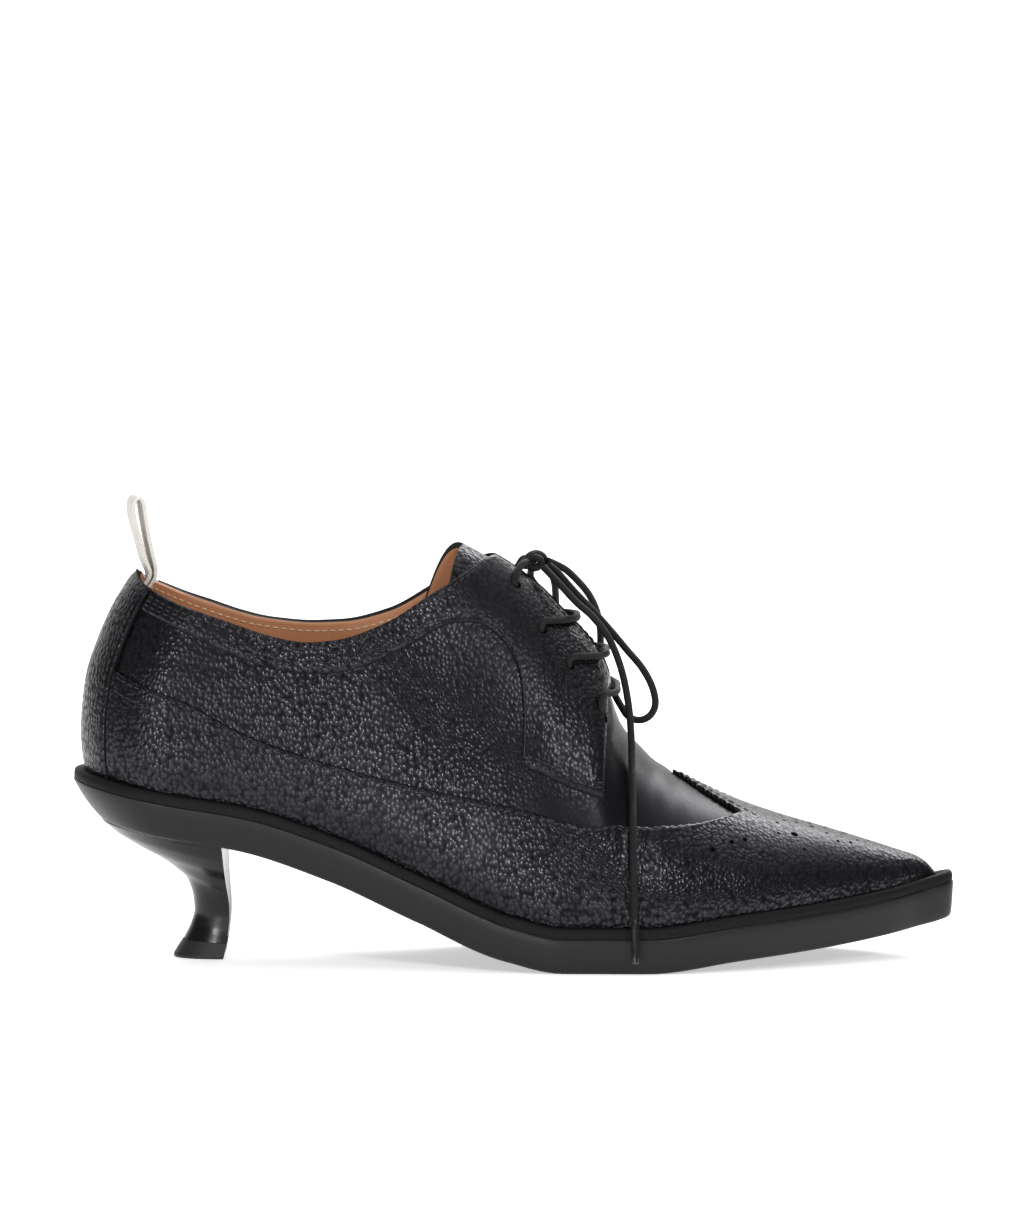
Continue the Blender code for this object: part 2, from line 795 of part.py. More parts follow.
def last_loop(grow, height):
    """Loop on the last at a height above the feather edge."""
    def place(girth, side):
        angle = angle_at_height(girth, feather_height(girth) + height)
        return last_point(girth, angle, side, grow)

    return both_sides(last_columns(), place)


def build_welt(material):
    edge = both_sides(sole_columns(), sole_edge)
    outer_rows = ((WELT_INSET, GAP), (WELT_INSET, WELT_BEVEL_SHARE * WELT), (WELT_TOP_INSET, WELT))
    loops = []
    for inset, height in outer_rows:
        loop = inset_loop(edge, lambda x: inset)
        for point in loop:
            point.z = sole_top(point.x) + height
        loops.append(loop)
    loops.append(last_loop(2 * GAP, WELT - GAP))
    loops.append(last_loop(2 * GAP, 0.0))
    ring("welt", loops, material)


def build_insole(material):
    clear = -WALL - 2 * GAP
    stack("insole", [last_loop(clear, INSOLE), last_loop(clear, 0.0)], material)


# Upper, overlays and tongue

def paired(girth, angle, side, high, low):
    return last_point(girth, angle, side, high), last_point(girth, angle, side, low)


def build_upper(material):
    girths = [girth_at_turn(turn) for turn in UPPER_TURNS] + list(UPPER_STATIONS)
    sheets = []
    for side in (LATERAL, MEDIAL):
        sheet = []
        for girth in girths:
            top = opening_angle(girth, side)
            sheet.append([paired(girth, top * level, side, 0.0, -WALL) for level in UPPER_LEVELS])
        sheets.append(sheet)
    shell("upper", sheets, material)


def wing_split(girth):
    """Upper edge of the wing along the side; past the valley, a line that stays on its surface."""
    if girth <= WING_VALLEY_X:
        return angle_at_height(girth, wing_edge_at(girth))
    valley = angle_at_height(WING_VALLEY_X, wing_edge_at(WING_VALLEY_X))
    return mix(valley, math.pi / 2 * WING_VALLEY_SHARE, ease((girth - WING_VALLEY_X) / WING_BLEND_RUN))


def wing_peak(girth):
    """Lower edge of the wing's point, from the crest down into the valley."""
    split = wing_split(max(girth, WING_VALLEY_X))
    if girth >= WING_VALLEY_X:
        return split
    share = (girth - WING_PEAK_X) / (WING_VALLEY_X - WING_PEAK_X)
    return mix(math.pi / 2, split, share)


def build_wing(material):
    low_girths = [girth_at_turn(turn) for turn in WING_TURNS] + list(UPPER_STATIONS)
    high_girths = [girth for girth in UPPER_STATIONS if girth >= WING_PEAK_X]
    sheets = []
    for side in (LATERAL, MEDIAL):
        sheet = []
        for girth in low_girths:
            foot = angle_at_height(girth, feather_height(girth) + OVERLAY_FOOT)
            split = max(wing_split(girth), foot)
            angles = [mix(foot, split, level) for level in WING_LOW_LEVELS]
            sheet.append([paired(girth, a, side, OVERLAY_HIGH, OVERLAY_LOW) for a in angles])
        sheets.append(sheet)
        sheet = []
        for girth in high_girths:
            foot = angle_at_height(girth, feather_height(girth) + OVERLAY_FOOT)
            low = max(wing_peak(girth), foot)
            angles = [mix(low, math.pi / 2, level) for level in WING_HIGH_LEVELS]
            sheet.append([paired(girth, a, side, OVERLAY_HIGH, OVERLAY_LOW) for a in angles])
        sheets.append(sheet)
    shell("wing_overlay", sheets, material)


def build_facing(name, side, material):
    sheet = []
    for row in FACING_ROWS:
        low = angle_at_height(row.girth, row.height)
        high = opening_angle(row.top_girth, side)
        column = []
        for level in FACING_LEVELS:
            girth = mix(row.girth, row.top_girth, level)
            angle = mix(low, high, level)
            lift = facing_lift(girth, level)
            column.append(paired(girth, angle, side, OVERLAY_HIGH + lift, OVERLAY_LOW + lift))
        sheet.append(column)
    shell(name, [sheet], material)


def build_back_panel(material):
    sheets = []
    for side in (LATERAL, MEDIAL):
        sheet = []
        for turn in PANEL_TURNS:
            girth = girth_at_turn(turn)
            foot = angle_at_height(girth, feather_height(girth) + OVERLAY_FOOT)
            top = opening_angle(girth, side)
            angles = [mix(foot, top, level) for level in PANEL_LEVELS]
            sheet.append([paired(girth, a, side, OVERLAY_HIGH, OVERLAY_LOW) for a in angles])
        sheets.append(sheet)
    shell("back_panel", sheets, material)


def build_tongue(material):
    sheets = []
    for side in (LATERAL, MEDIAL):
        sheet = []
        for row in TONGUE_ROWS:
            column = []
            for level in TONGUE_LEVELS:
                girth = row.crest_x - row.trail * (1 - level)
                edge = angle_at_offset(girth, side, row.half)
                angle = mix(edge, math.pi / 2, level)
                column.append(paired(girth, angle, side, TONGUE_HIGH, TONGUE_LOW))
            sheet.append(column)
        sheets.append(sheet)
    shell("tongue", sheets, material)


# Laces and pull loop

def over_facing(girth, side, offset, dip):
    """Place of the lace's middle line as it lies on a facing."""
    clear = OVERLAY_HIGH + LACE_RADIUS + LACE_CLEARANCE + facing_lift(girth, 1.0)
    return last_point(girth, angle_at_offset(girth, side, offset), side, clear - dip)


def level_place(side, offset, height, dip):
    """Place at a distance from the crest line where the lace reaches a height."""
    low, high = BAR_SEARCH
    for _ in range(BAR_HALVINGS):
        middle = (low + high) / 2
        if over_facing(middle, side, offset, dip).z > height:
            low = middle
        else:
            high = middle
    return over_facing(low, side, offset, dip)


def bar_points(row):
    """Level lace bar from eyelet to eyelet over the facings, dipping a little in the slot."""
    height = over_facing(row.girth, LATERAL, row.lateral, 0.0).z
    points = []
    for share in BAR_SHARES:
        side = LATERAL if share < 0 else MEDIAL
        offset = abs(share) * (row.lateral if share < 0 else row.medial)
        dip = BAR_DIP * ease((LACING_HALF_GAP - offset) / LACING_HALF_GAP)
        points.append(level_place(side, offset, height, dip))
    return points


def build_laces(material, tip_material):
    for number, row in enumerate(EYELET_ROWS, start=2):
        tube(f"lace_bar_{number}", bar_points(row), LACE_RADIUS, material)
    routes = {
        "lace_top_lateral": TOP_LATERAL_ROUTE,
        "lace_top_medial": TOP_MEDIAL_ROUTE,
        "lace_loop_lateral": LOOP_LATERAL_ROUTE,
        "lace_loop_medial": LOOP_MEDIAL_ROUTE,
        "lace_end_lateral": END_LATERAL_ROUTE,
        "lace_end_medial": END_MEDIAL_ROUTE,
    }
    runs = {}
    for name, route in routes.items():
        runs[name] = smooth_route(route)
        tube(name, runs[name], LACE_RADIUS, material)
    for side in ("lateral", "medial"):
        run = runs[f"lace_end_{side}"]
        along = (run[-1] - run[-2]).normalized()
        start = run[-1] + along * GAP
        tube(f"aglet_{side}", [start, start + along * AGLET_LENGTH], AGLET_RADIUS, tip_material)
    mesh = bmesh.new()
    bmesh.ops.create_icosphere(mesh, subdivisions=2, radius=0.5)
    bmesh.ops.scale(mesh, vec=Vector(KNOT_SIZE) * MM, verts=mesh.verts)
    bmesh.ops.translate(mesh, vec=Vector(KNOT_CENTRE) * MM, verts=mesh.verts)
    add_mesh("lace_knot", mesh, material)


def build_pull_loop(material):
    path = [Vector((x, 0.0, z)) for x, z in PULL_LOOP_ROUTE]
    sheet = []
    for i, point in enumerate(path):
        run = path[min(i + 1, len(path) - 1)] - path[max(i - 1, 0)]
        outward = Vector((-run.z, 0.0, run.x)).normalized() * LOOP_TAPE / 2
        column = []
        for side in (LATERAL, MEDIAL):
            across = Vector((0.0, side * LOOP_WIDTH / 2, 0.0))
            column.append((point + across + outward, point + across - outward))
        sheet.append(column)
    shell("pull_loop", [sheet], material)


def centre_shift():
    """Sideways shift that puts the middle of the sole's width on the origin."""
    loop = both_sides(sole_columns(), sole_edge)
    return -(max(point.y for point in loop) + min(point.y for point in loop)) / 2


for leftover in list(bpy.data.objects):
    bpy.data.objects.remove(leftover, do_unlink=True)

SHOE = bpy.data.objects.new("shoe", None)
SHOE.location = (0.0, centre_shift() * MM, 0.0)
bpy.context.scene.collection.objects.link(SHOE)

grain_leather = make_material("black_grain_leather", (0.012, 0.012, 0.014), 0.38)
overlay_leather = make_material("black_grain_leather_overlay", (0.010, 0.010, 0.012), 0.36)
sole_leather = make_material("dark_sole_leather", (0.020, 0.020, 0.022), 0.32)
heel_lacquer = make_material("black_heel_lacquer", (0.008, 0.008, 0.009), 0.18)
tread_rubber = make_material("black_tread_rubber", (0.015, 0.015, 0.016), 0.55)
lining_leather = make_material("tan_lining_leather", (0.45, 0.24, 0.13), 0.60)
lace_cotton = make_material("black_waxed_cotton", (0.010, 0.010, 0.010), 0.55)
lace_tip = make_material("black_lace_tip", (0.010, 0.010, 0.010), 0.30)
tape = make_material("off_white_tape", (0.80, 0.79, 0.76), 0.80)

build_outsole(sole_leather)
build_heel(heel_lacquer, tread_rubber)
build_welt(sole_leather)
build_insole(lining_leather)
build_upper(grain_leather)
build_wing(overlay_leather)
build_facing("facing_lateral", LATERAL, overlay_leather)
build_facing("facing_medial", MEDIAL, overlay_leather)
build_back_panel(overlay_leather)
build_tongue(grain_leather)
build_laces(lace_cotton, lace_tip)
build_pull_loop(tape)
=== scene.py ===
import math
from bisect import bisect_right
from functools import cache, partial

import bmesh
import bpy
from mathutils import Matrix, Vector


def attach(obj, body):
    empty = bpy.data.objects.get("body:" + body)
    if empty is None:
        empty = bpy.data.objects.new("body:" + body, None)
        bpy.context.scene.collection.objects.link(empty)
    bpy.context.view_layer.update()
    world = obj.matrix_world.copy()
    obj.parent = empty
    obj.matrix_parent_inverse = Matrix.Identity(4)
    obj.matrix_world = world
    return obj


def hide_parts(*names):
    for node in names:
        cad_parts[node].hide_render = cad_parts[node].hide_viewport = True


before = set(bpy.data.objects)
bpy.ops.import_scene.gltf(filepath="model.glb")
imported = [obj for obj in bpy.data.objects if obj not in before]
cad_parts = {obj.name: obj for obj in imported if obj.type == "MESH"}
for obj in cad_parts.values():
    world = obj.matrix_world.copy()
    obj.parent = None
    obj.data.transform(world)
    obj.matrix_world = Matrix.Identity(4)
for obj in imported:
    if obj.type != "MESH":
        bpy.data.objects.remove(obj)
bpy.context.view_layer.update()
print("frame:", len(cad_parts), "solids loaded")

mm = 0.001  # all sizes below are in millimetres unless a note says otherwise
weld = 1e-6
outerSide, innerSide = -1, 1  # the outer side of the foot faces the camera
sides = (outerSide, innerSide)

# The camera stands far off and a little above the shoe, square to its outer side
photoCamera = {
    "distance": 2500.0, "height": 340.0, "turn": 0.5, "aim": (-0.5, 0.0, 105.0),
    "frameHeight": 376.4, "film": 36.0,
}


def addObject(name, data):
    thing = bpy.data.objects.new(name, data)
    bpy.context.scene.collection.objects.link(thing)
    return thing


def makeCamera():
    turn = math.radians(photoCamera["turn"])
    reach = photoCamera["distance"]
    place = Vector((math.sin(turn) * reach, -math.cos(turn) * reach, photoCamera["height"])) * mm
    look = Vector(photoCamera["aim"]) * mm - place
    data = bpy.data.cameras.new("photoCamera")
    data.sensor_fit = "VERTICAL"
    data.sensor_height = photoCamera["film"]
    data.lens = photoCamera["film"] * look.length / (photoCamera["frameHeight"] * mm)
    camera = addObject("photoCamera", data)
    camera.location = place
    camera.rotation_euler = look.to_track_quat("-Z", "Y").to_euler()
    bpy.context.scene.camera = camera


makeCamera()
print("camera: placed")


# Materials

def toLinear(hexColour):
    parts = [int(hexColour[i:i + 2], 16) / 255 for i in (1, 3, 5)]
    return tuple(c / 12.92 if c <= 0.04045 else ((c + 0.055) / 1.055) ** 2.4 for c in parts) + (1.0,)


def feed(tree, node, feeds):
    for socket, value in feeds.items():
        if isinstance(value, bpy.types.NodeSocket):
            tree.links.new(value, node.inputs[socket])
        else:
            node.inputs[socket].default_value = value


def addNode(tree, kind, feeds=None, **settings):
    node = tree.nodes.new(kind)
    for key, value in settings.items():
        setattr(node, key, value)
    feed(tree, node, feeds or {})
    return node


def addNoise(tree, place, sizeMm, detail, output="Fac"):
    feeds = {"Vector": place, "Scale": 1000 / sizeMm, "Detail": detail}
    return addNode(tree, "ShaderNodeTexNoise", feeds).outputs[output]


def reckon(tree, operation, *values, kind="ShaderNodeMath"):
    return addNode(tree, kind, dict(enumerate(values)), operation=operation).outputs[0]


def remap(tree, value, span, ends, curve="LINEAR"):
    feeds = dict(enumerate((value, *span, *ends)))
    return addNode(tree, "ShaderNodeMapRange", feeds, interpolation_type=curve).outputs[0]


def blend(tree, share, dark, light):
    feeds = {0: share, 6: toLinear(dark), 7: toLinear(light)}
    return addNode(tree, "ShaderNodeMix", feeds, data_type="RGBA").outputs[2]


def addBump(tree, height, strength, reliefMm):
    feeds = {"Height": height, "Strength": strength, "Distance": reliefMm * mm}
    return addNode(tree, "ShaderNodeBump", feeds).outputs[0]


def startMaterial(name):
    material = bpy.data.materials.new(name)
    material.use_nodes = True
    return material, material.node_tree, material.node_tree.nodes["Principled BSDF"]


def pebbledLeather(name, recipe):
    # Full-grain calf, embossed with a pebble plate and polished: domed cells that glint, and grooves given a
    # darker colour and a weaker reflection as painted shade
    material, tree, shader = startMaterial(name)
    place = addNode(tree, "ShaderNodeTexCoord").outputs["Object"]
    # the cells wander off their even spread
    vector = "ShaderNodeVectorMath"
    wander = addNoise(tree, place, recipe["wanderMm"], 1.0, "Color")
    centred = reckon(tree, "SUBTRACT", wander, (0.5, 0.5, 0.5), kind=vector)
    drift = {0: centred, "Scale": recipe["wanderMm"] * recipe["wanderShare"] * mm}
    nudge = addNode(tree, vector, drift, operation="SCALE").outputs[0]
    bent = reckon(tree, "ADD", place, nudge, kind=vector)
    bent = reckon(tree, "MULTIPLY", bent, recipe["stretch"], kind=vector)
    cells = {"Vector": bent, "Scale": 1000 / recipe["pebbleMm"]}
    cells.update({"Randomness": recipe["uneven"], "Smoothness": recipe["soft"]})
    dome = addNode(tree, "ShaderNodeTexVoronoi", cells, feature="SMOOTH_F1").outputs["Distance"]
    crown = remap(tree, dome, recipe["dome"], (1.0, 0.0), "SMOOTHSTEP")
    pores = addNoise(tree, place, recipe["poreMm"], 3.0)
    height = reckon(tree, "MULTIPLY_ADD", pores, recipe["poreShare"], crown)
    # stretched smooth where the mesh's own grain value is low, and a little from patch to patch
    patch = addNoise(tree, place, recipe["patchMm"], 2.0)
    loose = remap(tree, patch, recipe["patchSpan"], recipe["patchGrain"])
    grain = addNode(tree, "ShaderNodeAttribute", attribute_name="grain").outputs["Fac"]
    grain = reckon(tree, "MULTIPLY", grain, loose)
    seen = addNode(tree, "ShaderNodeMix", {0: grain, 2: recipe["smooth"], 3: crown}).outputs[0]
    gloss = remap(tree, seen, (0.0, recipe["glossEnd"]), recipe["roughness"])
    # painted shade: the colour darkens and the reflection weakens from crown to groove
    feed(tree, shader, {
        "Base Color": blend(tree, seen, recipe["pitShade"], recipe["top"]),
        "Roughness": reckon(tree, "MULTIPLY_ADD", patch, recipe["patchGloss"], gloss),
        "Specular IOR Level": remap(tree, seen, (0.0, 1.0), recipe["specular"]),
        "Normal": addBump(tree, height, grain, recipe["reliefMm"]),
        "IOR": recipe["ior"], "Specular Tint": toLinear(recipe["glint"])})
    return material


def smoothSurface(name, dark, light, cloudMm, gritMm, roughness, gritStrength, ior=1.5, coat=0.0):
    # Polished, cast or dressed surfaces: one colour with faint cloudy change and a fine grit in the gloss
    material, tree, shader = startMaterial(name)
    place = addNode(tree, "ShaderNodeTexCoord").outputs["Object"]
    cloud = addNoise(tree, place, cloudMm, 3.0)
    grit = addNoise(tree, place, gritMm, 4.0)
    gritReliefMm = 0.05
    feed(tree, shader, {
        "Base Color": blend(tree, cloud, dark, light), "Roughness": remap(tree, grit, (0.3, 0.7), roughness),
        "Normal": addBump(tree, grit, gritStrength, gritReliefMm),
        "IOR": ior, "Coat Weight": coat, "Coat Roughness": 0.08})
    return material


def wovenThread(name, dark, light, turns, yarnMm, reliefMm, roughness, sheen, ior):
    # Twisted or braided yarn: slanted sets of ridges that cross, dull with a soft sheen on the ridges, and
    # painted shade that darkens the colour down between them
    material, tree, shader = startMaterial(name)
    place = addNode(tree, "ShaderNodeUVMap", uv_map="lay").outputs["UV"]
    ridges = []
    for turn in turns:
        slant = {"Vector": place, "Rotation": (0.0, 0.0, math.radians(turn))}
        leaned = addNode(tree, "ShaderNodeMapping", slant).outputs[0]
        bands = {"Vector": leaned, "Scale": math.pi / (10 * yarnMm)}
        ridges.append(addNode(tree, "ShaderNodeTexWave", bands, bands_direction="X").outputs["Fac"])
    height = ridges[0]
    for ridge in ridges[1:]:
        height = reckon(tree, "MAXIMUM", height, ridge)
    # painted shade: the colour runs from dark in the grooves to light on the ridges
    feed(tree, shader, {
        "Base Color": blend(tree, height, dark, light), "Roughness": roughness,
        "Normal": addBump(tree, height, 1.0, reliefMm),
        "IOR": ior, "Sheen Weight": sheen, "Sheen Roughness": 0.5})
    return material


finishes = {
    "upper": pebbledLeather("embossed_calf_leather", {
        "top": "#0f0f12", "pitShade": "#020203", "glint": "#f2f1ff", "ior": 1.48, "smooth": 0.32, "reliefMm": 0.17,
        "pebbleMm": 1.35, "stretch": (1.1, 1.1, 0.82), "uneven": 0.85, "soft": 0.15, "dome": (0.08, 0.98),
        "wanderMm": 3.0, "wanderShare": 0.45, "poreMm": 0.45, "poreShare": 0.15,
        "patchMm": 35.0, "patchSpan": (0.35, 0.62), "patchGrain": (0.45, 1.0), "patchGloss": 0.10,
        # from groove to crown; the darker colour and weaker reflection in the grooves are painted shade
        "roughness": (0.46, 0.10), "glossEnd": 0.9, "specular": (0.08, 0.54)}),
    # colours, turns of the ridges, yarn and relief in millimetres, roughness, sheen, index of refraction
    "lace": wovenThread("braided_waxed_cotton", "#040404", "#0d0d0d", (32, -32), 0.62, 0.12, 0.6, 0.02, 1.35),
    "tape": wovenThread("ribbed_cotton_tape", "#c9c5bb", "#f0ede6", (0,), 0.55, 0.14, 0.75, 0.3, 1.5),
}
# colours, cloud and grit in millimetres, roughness, depth of the grit, index of refraction, lacquer
smoothRows = {
    "edge": ("painted_leather_edge", "#08080a", "#0f0f11", 6.0, 0.5, (0.55, 0.75), 0.5, 1.35),  # dull line
    "lining": ("tanned_lining_leather", "#b07a54", "#c48f69", 14.0, 0.6, (0.45, 0.65), 0.4),  # warm and soft
    "sole": ("dressed_sole_leather", "#0e0d10", "#131215", 30.0, 0.7, (0.34, 0.46), 0.15, 1.38),  # satin
    "welt": ("waxed_welt_leather", "#050506", "#0b0b0c", 8.0, 0.6, (0.55, 0.75), 0.6, 1.3),  # dark and dull
    "heel": ("lacquered_heel_block", "#08080a", "#0d0d0f", 25.0, 0.9, (0.20, 0.28), 0.05, 1.38, 0.1),  # shiny
    "tread": ("moulded_tread_rubber", "#121213", "#1b1b1c", 9.0, 0.5, (0.42, 0.58), 0.4),  # grey satin
    "laceTip": ("shrunk_sleeve_tip", "#0b0b0c", "#151516", 3.0, 0.4, (0.18, 0.30), 0.2),  # glossy
    "thread": ("bonded_black_thread", "#0e0e10", "#1d1d20", 2.0, 0.3, (0.35, 0.50), 0.4),  # faint shine
    "paleThread": ("bonded_pale_thread", "#cbb18f", "#e2cfb3", 2.0, 0.3, (0.45, 0.60), 0.4),  # pale dots
}
for key, row in smoothRows.items():
    finishes[key] = smoothSurface(*row)
print("materials:", len(finishes))


# Meshes

def layGrid(mesh, columns, levels, put):
    across, up = len(columns) - 1, len(levels) - 1
    made = bmesh.ops.create_grid(mesh, x_segments=across, y_segments=up, size=1.0, calc_uvs=True)
    for vert in made["verts"]:
        i = round((vert.co.x + 1) / 2 * across)
        j = round((vert.co.y + 1) / 2 * up)
        put(vert, columns[i], levels[j])


def toData(name, mesh):
    data = bpy.data.meshes.new(name)
    mesh.to_mesh(data)
    mesh.free()
    return data


def addPiece(name, mesh, looks, nodes, sharpAngle=50.0):
    data = toData(name, mesh)
    for look in looks:
        data.materials.append(finishes[look])
    data.shade_smooth()
    data.set_sharp_from_angle(angle=math.radians(sharpAngle))
    piece = addObject(name, data)
    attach(piece, "root")
    if nodes:
        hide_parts(*nodes)
    print("piece:", name, len(data.polygons), "faces")
    return piece


def makeShell(sheets, rimBulge, grainAt=None, uvSize=None):
    # Each sheet is (columns, levels, place), and place gives the wall's outer and inner point
    mesh = bmesh.new()
    back = mesh.verts.layers.float_vector.new("back")
    grain = mesh.verts.layers.float.new("grain")
    depth = mesh.verts.layers.float.new("depth")
    if uvSize:
        uv = mesh.loops.layers.uv.new("lay")
    for columns, levels, place in sheets:
        def put(vert, column, level):
            face, behind = place(column, level)
            vert.co = face * mm
            vert[back] = behind * mm
            vert[grain] = grainAt(face) if grainAt else 1.0
        layGrid(mesh, columns, levels, put)
    if uvSize:
        for face in mesh.faces:
            for loop in face.loops:
                loop[uv].uv = (loop[uv].uv.x * uvSize[0], loop[uv].uv.y * uvSize[1])
    bmesh.ops.remove_doubles(mesh, verts=mesh.verts, dist=weld)
    wall = bmesh.ops.extrude_face_region(mesh, geom=mesh.faces[:], use_keep_orig=True)
    for item in wall["geom"]:
        if isinstance(item, bmesh.types.BMVert):
            item.co = item[back]
            item[depth] = 1.0
    bmesh.ops.recalc_face_normals(mesh, faces=mesh.faces)
    rungs = [edge for edge in mesh.edges if edge.verts[0][depth] != edge.verts[1][depth]]
    bmesh.ops.subdivide_edges(mesh, edges=rungs, cuts=1, use_grid_fill=True)
    mesh.normal_update()
    # halfway through the wall the depth is 0.5, so those verts are the middle of the rim
    for vert in mesh.verts:
        if 0.25 < vert[depth] < 0.75:
            vert.co += vert.normal * rimBulge * mm
    # material 0 outside, 1 inside, 2 the rim's outer half, 3 its inner half
    for face in mesh.faces:
        deep = sum(vert[depth] for vert in face.verts) / len(face.verts)
        face.material_index = 0 if deep < 0.1 else 1 if deep > 0.9 else 2 if deep < 0.5 else 3
    mesh.verts.layers.float.remove(depth)
    mesh.verts.layers.float_vector.remove(mesh.verts.layers.float_vector["back"])
    return mesh


def skinLoops(loops, spine=None):
    # Skin through closed loops of equal count, with the first and last one closed towards the spine
    if spine:
        first = [point.lerp(spine(point), 0.5) for point in loops[0]]
        tip = [spine(point) for point in loops[0]]
        final = [point.lerp(spine(point), 0.5) for point in loops[-1]]
        end = [spine(point) for point in loops[-1]]
        loops = [tip, first] + loops + [final, end]
    mesh = bmesh.new()

    def put(vert, column, level):
        vert.co = loops[level][column % len(loops[level])] * mm

    layGrid(mesh, range(len(loops[0]) + 1), range(len(loops)), put)
    bmesh.ops.remove_doubles(mesh, verts=mesh.verts, dist=weld)
    bmesh.ops.dissolve_degenerate(mesh, dist=weld, edges=mesh.edges)
    bmesh.ops.recalc_face_normals(mesh, faces=mesh.faces)
    return mesh


def reachAlong(points):
    reach = [0.0]
    for low, high in zip(points, points[1:]):
        reach.append(reach[-1] + (high - low).length)
    return reach


def spotAt(points, reach, wanted):
    # Point at a distance along a line, and the number of the stretch it lies on
    i = min(len(points) - 2, bisect_right(reach, wanted) - 1)
    span = max(1e-9, reach[i + 1] - reach[i])
    return points[i].lerp(points[i + 1], (wanted - reach[i]) / span), i


def smoothRoute(route, spacing, parts=12):
    # Even places along a smooth curve through the route's own points
    points = [Vector(point) for point in route]
    fine = []
    for i in range(len(points) - 1):
        before = points[max(0, i - 1)]
        start, end = points[i], points[i + 1]
        after = points[min(len(points) - 1, i + 2)]
        for step in range(parts):
            t = step / parts
            bend = (2 * before - 5 * start + 4 * end - after) * t ** 2
            swing = (3 * start - before - 3 * end + after) * t ** 3
            fine.append(0.5 * (2 * start + (end - before) * t + bend + swing))
    fine.append(points[-1])
    reach = reachAlong(fine)
    count = max(2, round(reach[-1] / spacing))
    return [spotAt(fine, reach, reach[-1] * k / count)[0] for k in range(count + 1)]


def layTube(mesh, points, radii, around=12):
    # Round cord along points, with its own length and girth in millimetres as UV
    count = len(points)
    runs = [(points[min(i + 1, count - 1)] - points[max(i - 1, 0)]).normalized() for i in range(count)]
    across = runs[0].orthogonal().normalized()
    frames = []
    length = 0.0
    for i, run in enumerate(runs):
        across = (across - run * across.dot(run)).normalized()
        frames.append((points[i], across, run.cross(across), radii[i]))
        if i:
            length += (points[i] - points[i - 1]).length
    old = set(mesh.faces)
    oldVerts = set(mesh.verts)

    def put(vert, column, level):
        centre, side, up, radius = frames[level]
        turn = 2 * math.pi * column / around
        vert.co = (centre + (side * math.cos(turn) + up * math.sin(turn)) * radius) * mm

    uv = mesh.loops.layers.uv.verify()
    layGrid(mesh, range(around + 1), range(count), put)
    girth = 2 * math.pi * max(radii)
    for face in set(mesh.faces) - old:
        for loop in face.loops:
            loop[uv].uv = (loop[uv].uv.x * girth, loop[uv].uv.y * length)
    fresh = [vert for vert in mesh.verts if vert not in oldVerts]
    bmesh.ops.remove_doubles(mesh, verts=fresh, dist=weld)
    ends = [edge for edge in mesh.edges if edge.is_boundary]
    bmesh.ops.holes_fill(mesh, edges=ends, sides=around)
    bmesh.ops.recalc_face_normals(mesh, faces=mesh.faces)
    return length


def startTube():
    mesh = bmesh.new()
    mesh.loops.layers.uv.new("lay")
    return mesh


